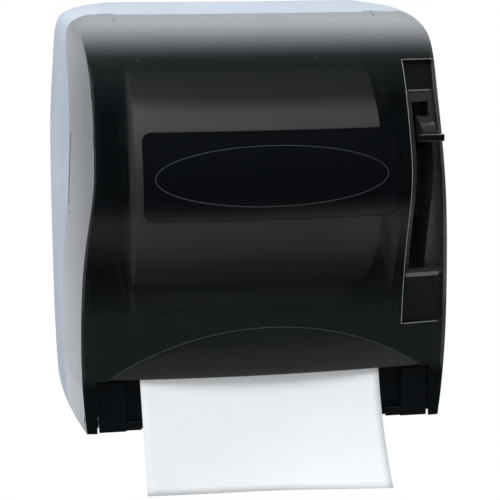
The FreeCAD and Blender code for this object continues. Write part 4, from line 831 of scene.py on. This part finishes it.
# Corners of each block on the right side; the left side is their mirror image.
FLANGE_BLOCKS = (
    ((0.1410, -0.2120, -0.1545), (0.1426, -0.1930, -0.1200)),
    ((0.1410, -0.2080, -0.1672), (0.1426, -0.1950, -0.1615)),
)
LIP_BLOCKS = (
    ((0.1050, -0.2085, -0.1710), (0.1180, -0.2060, -0.1640)),
)
EASED_EDGE = 0.0002


def rounded_block(work, low, high):
    """Block between two corners, with its edges eased."""
    block = bmesh.ops.create_cube(work, size=1.0)["verts"]
    bmesh.ops.scale(work, verts=block, vec=[top - bottom for bottom, top in zip(low, high)])
    bmesh.ops.translate(work, verts=block, vec=[(top + bottom) / 2 for bottom, top in zip(low, high)])
    edges = list({edge for vert in block for edge in vert.link_edges})
    bmesh.ops.bevel(work, geom=edges, offset=EASED_EDGE, affect="EDGES", segments=2, profile=0.5,
                    material=-1)


def black_blocks(name, blocks, side):
    """Black blocks as one object: side 1 is the right, -1 the left."""
    work = bmesh.new()
    for (inner_x, front, bottom), (outer_x, back, top) in blocks:
        near, far = sorted((side * inner_x, side * outer_x))
        rounded_block(work, (near, front, bottom), (far, back, top))
    return mesh_object(work, name, TRAY_BLACK)


def leg_flange(name, side):
    """Inner flange of the cover's leg, above and below its hinge pin; it closes most of the slit there."""
    flange = black_blocks(name, FLANGE_BLOCKS, side)
    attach(flange, "cover")


def foot_lip(name, side):
    """Low front strip from the foot towards the towel."""
    lip = black_blocks(name, LIP_BLOCKS, side)
    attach(lip, "housing")


leg_flange("leg_flange_left", -1)
leg_flange("leg_flange_right", 1)
foot_lip("foot_lip_left", -1)
foot_lip("foot_lip_right", 1)

# Painted highlight along the upper edge of the finger scoop.
moulded_line("scoop_edge", scoop_path(half_width=0.128, radius=0.2278, center_z=-0.3094), 0.00024, BEAD_HIGHLIGHT)
# Painted highlight along the front edge of the lever's notch.
moulded_line("notch_rim_highlight", notch_path(left=0.1135, low=-0.0855, top=0.1335), 0.00028, RIM_HIGHLIGHT)


# ---------------------------------------------------------------- ledges in the lever's notch

LEDGE_THICKNESS = 0.0012
LEDGE_PROUD = 0.0003
NO_GUIDE_Y = -0.2                # where a ray finds no guide


def guide_ledge(name, low, high, left, right):
    """Narrow step across the lever guide, between two heights; its light grey is a painted highlight on the
    step.
    """
    work = bmesh.new()
    middle_x, middle_z = (left + right) / 2, (low + high) / 2
    upright = Matrix.Translation((middle_x, 0.0, middle_z)) @ Matrix.Rotation(math.pi / 2, 4, "X")
    bmesh.ops.create_grid(work, x_segments=8, y_segments=2, size=0.5, matrix=upright)
    for vert in work.verts:
        vert.co.x = left + (right - left) * (vert.co.x - middle_x + 0.5)
        vert.co.z = low + (high - low) * (vert.co.z - middle_z + 0.5)
        hit = GUIDE_TREE.ray_cast(Vector((vert.co.x, AHEAD_OF_COVER, vert.co.z)), BACKWARD)[0]
        vert.co.y = (hit.y if hit else NO_GUIDE_Y) - LEDGE_PROUD
    bmesh.ops.recalc_face_normals(work, faces=work.faces)
    piece = mesh_object(work, name, LEDGE_HIGHLIGHT)
    wall = piece.modifiers.new("step", "SOLIDIFY")
    wall.thickness = LEDGE_THICKNESS
    wall.offset = 0.0
    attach(piece, "housing")


guide_ledge("ledge_low", low=-0.0450, high=-0.0418, left=0.1160, right=0.1452)
guide_ledge("ledge_high", low=0.1080, high=0.1092, left=0.1175, right=0.1400)
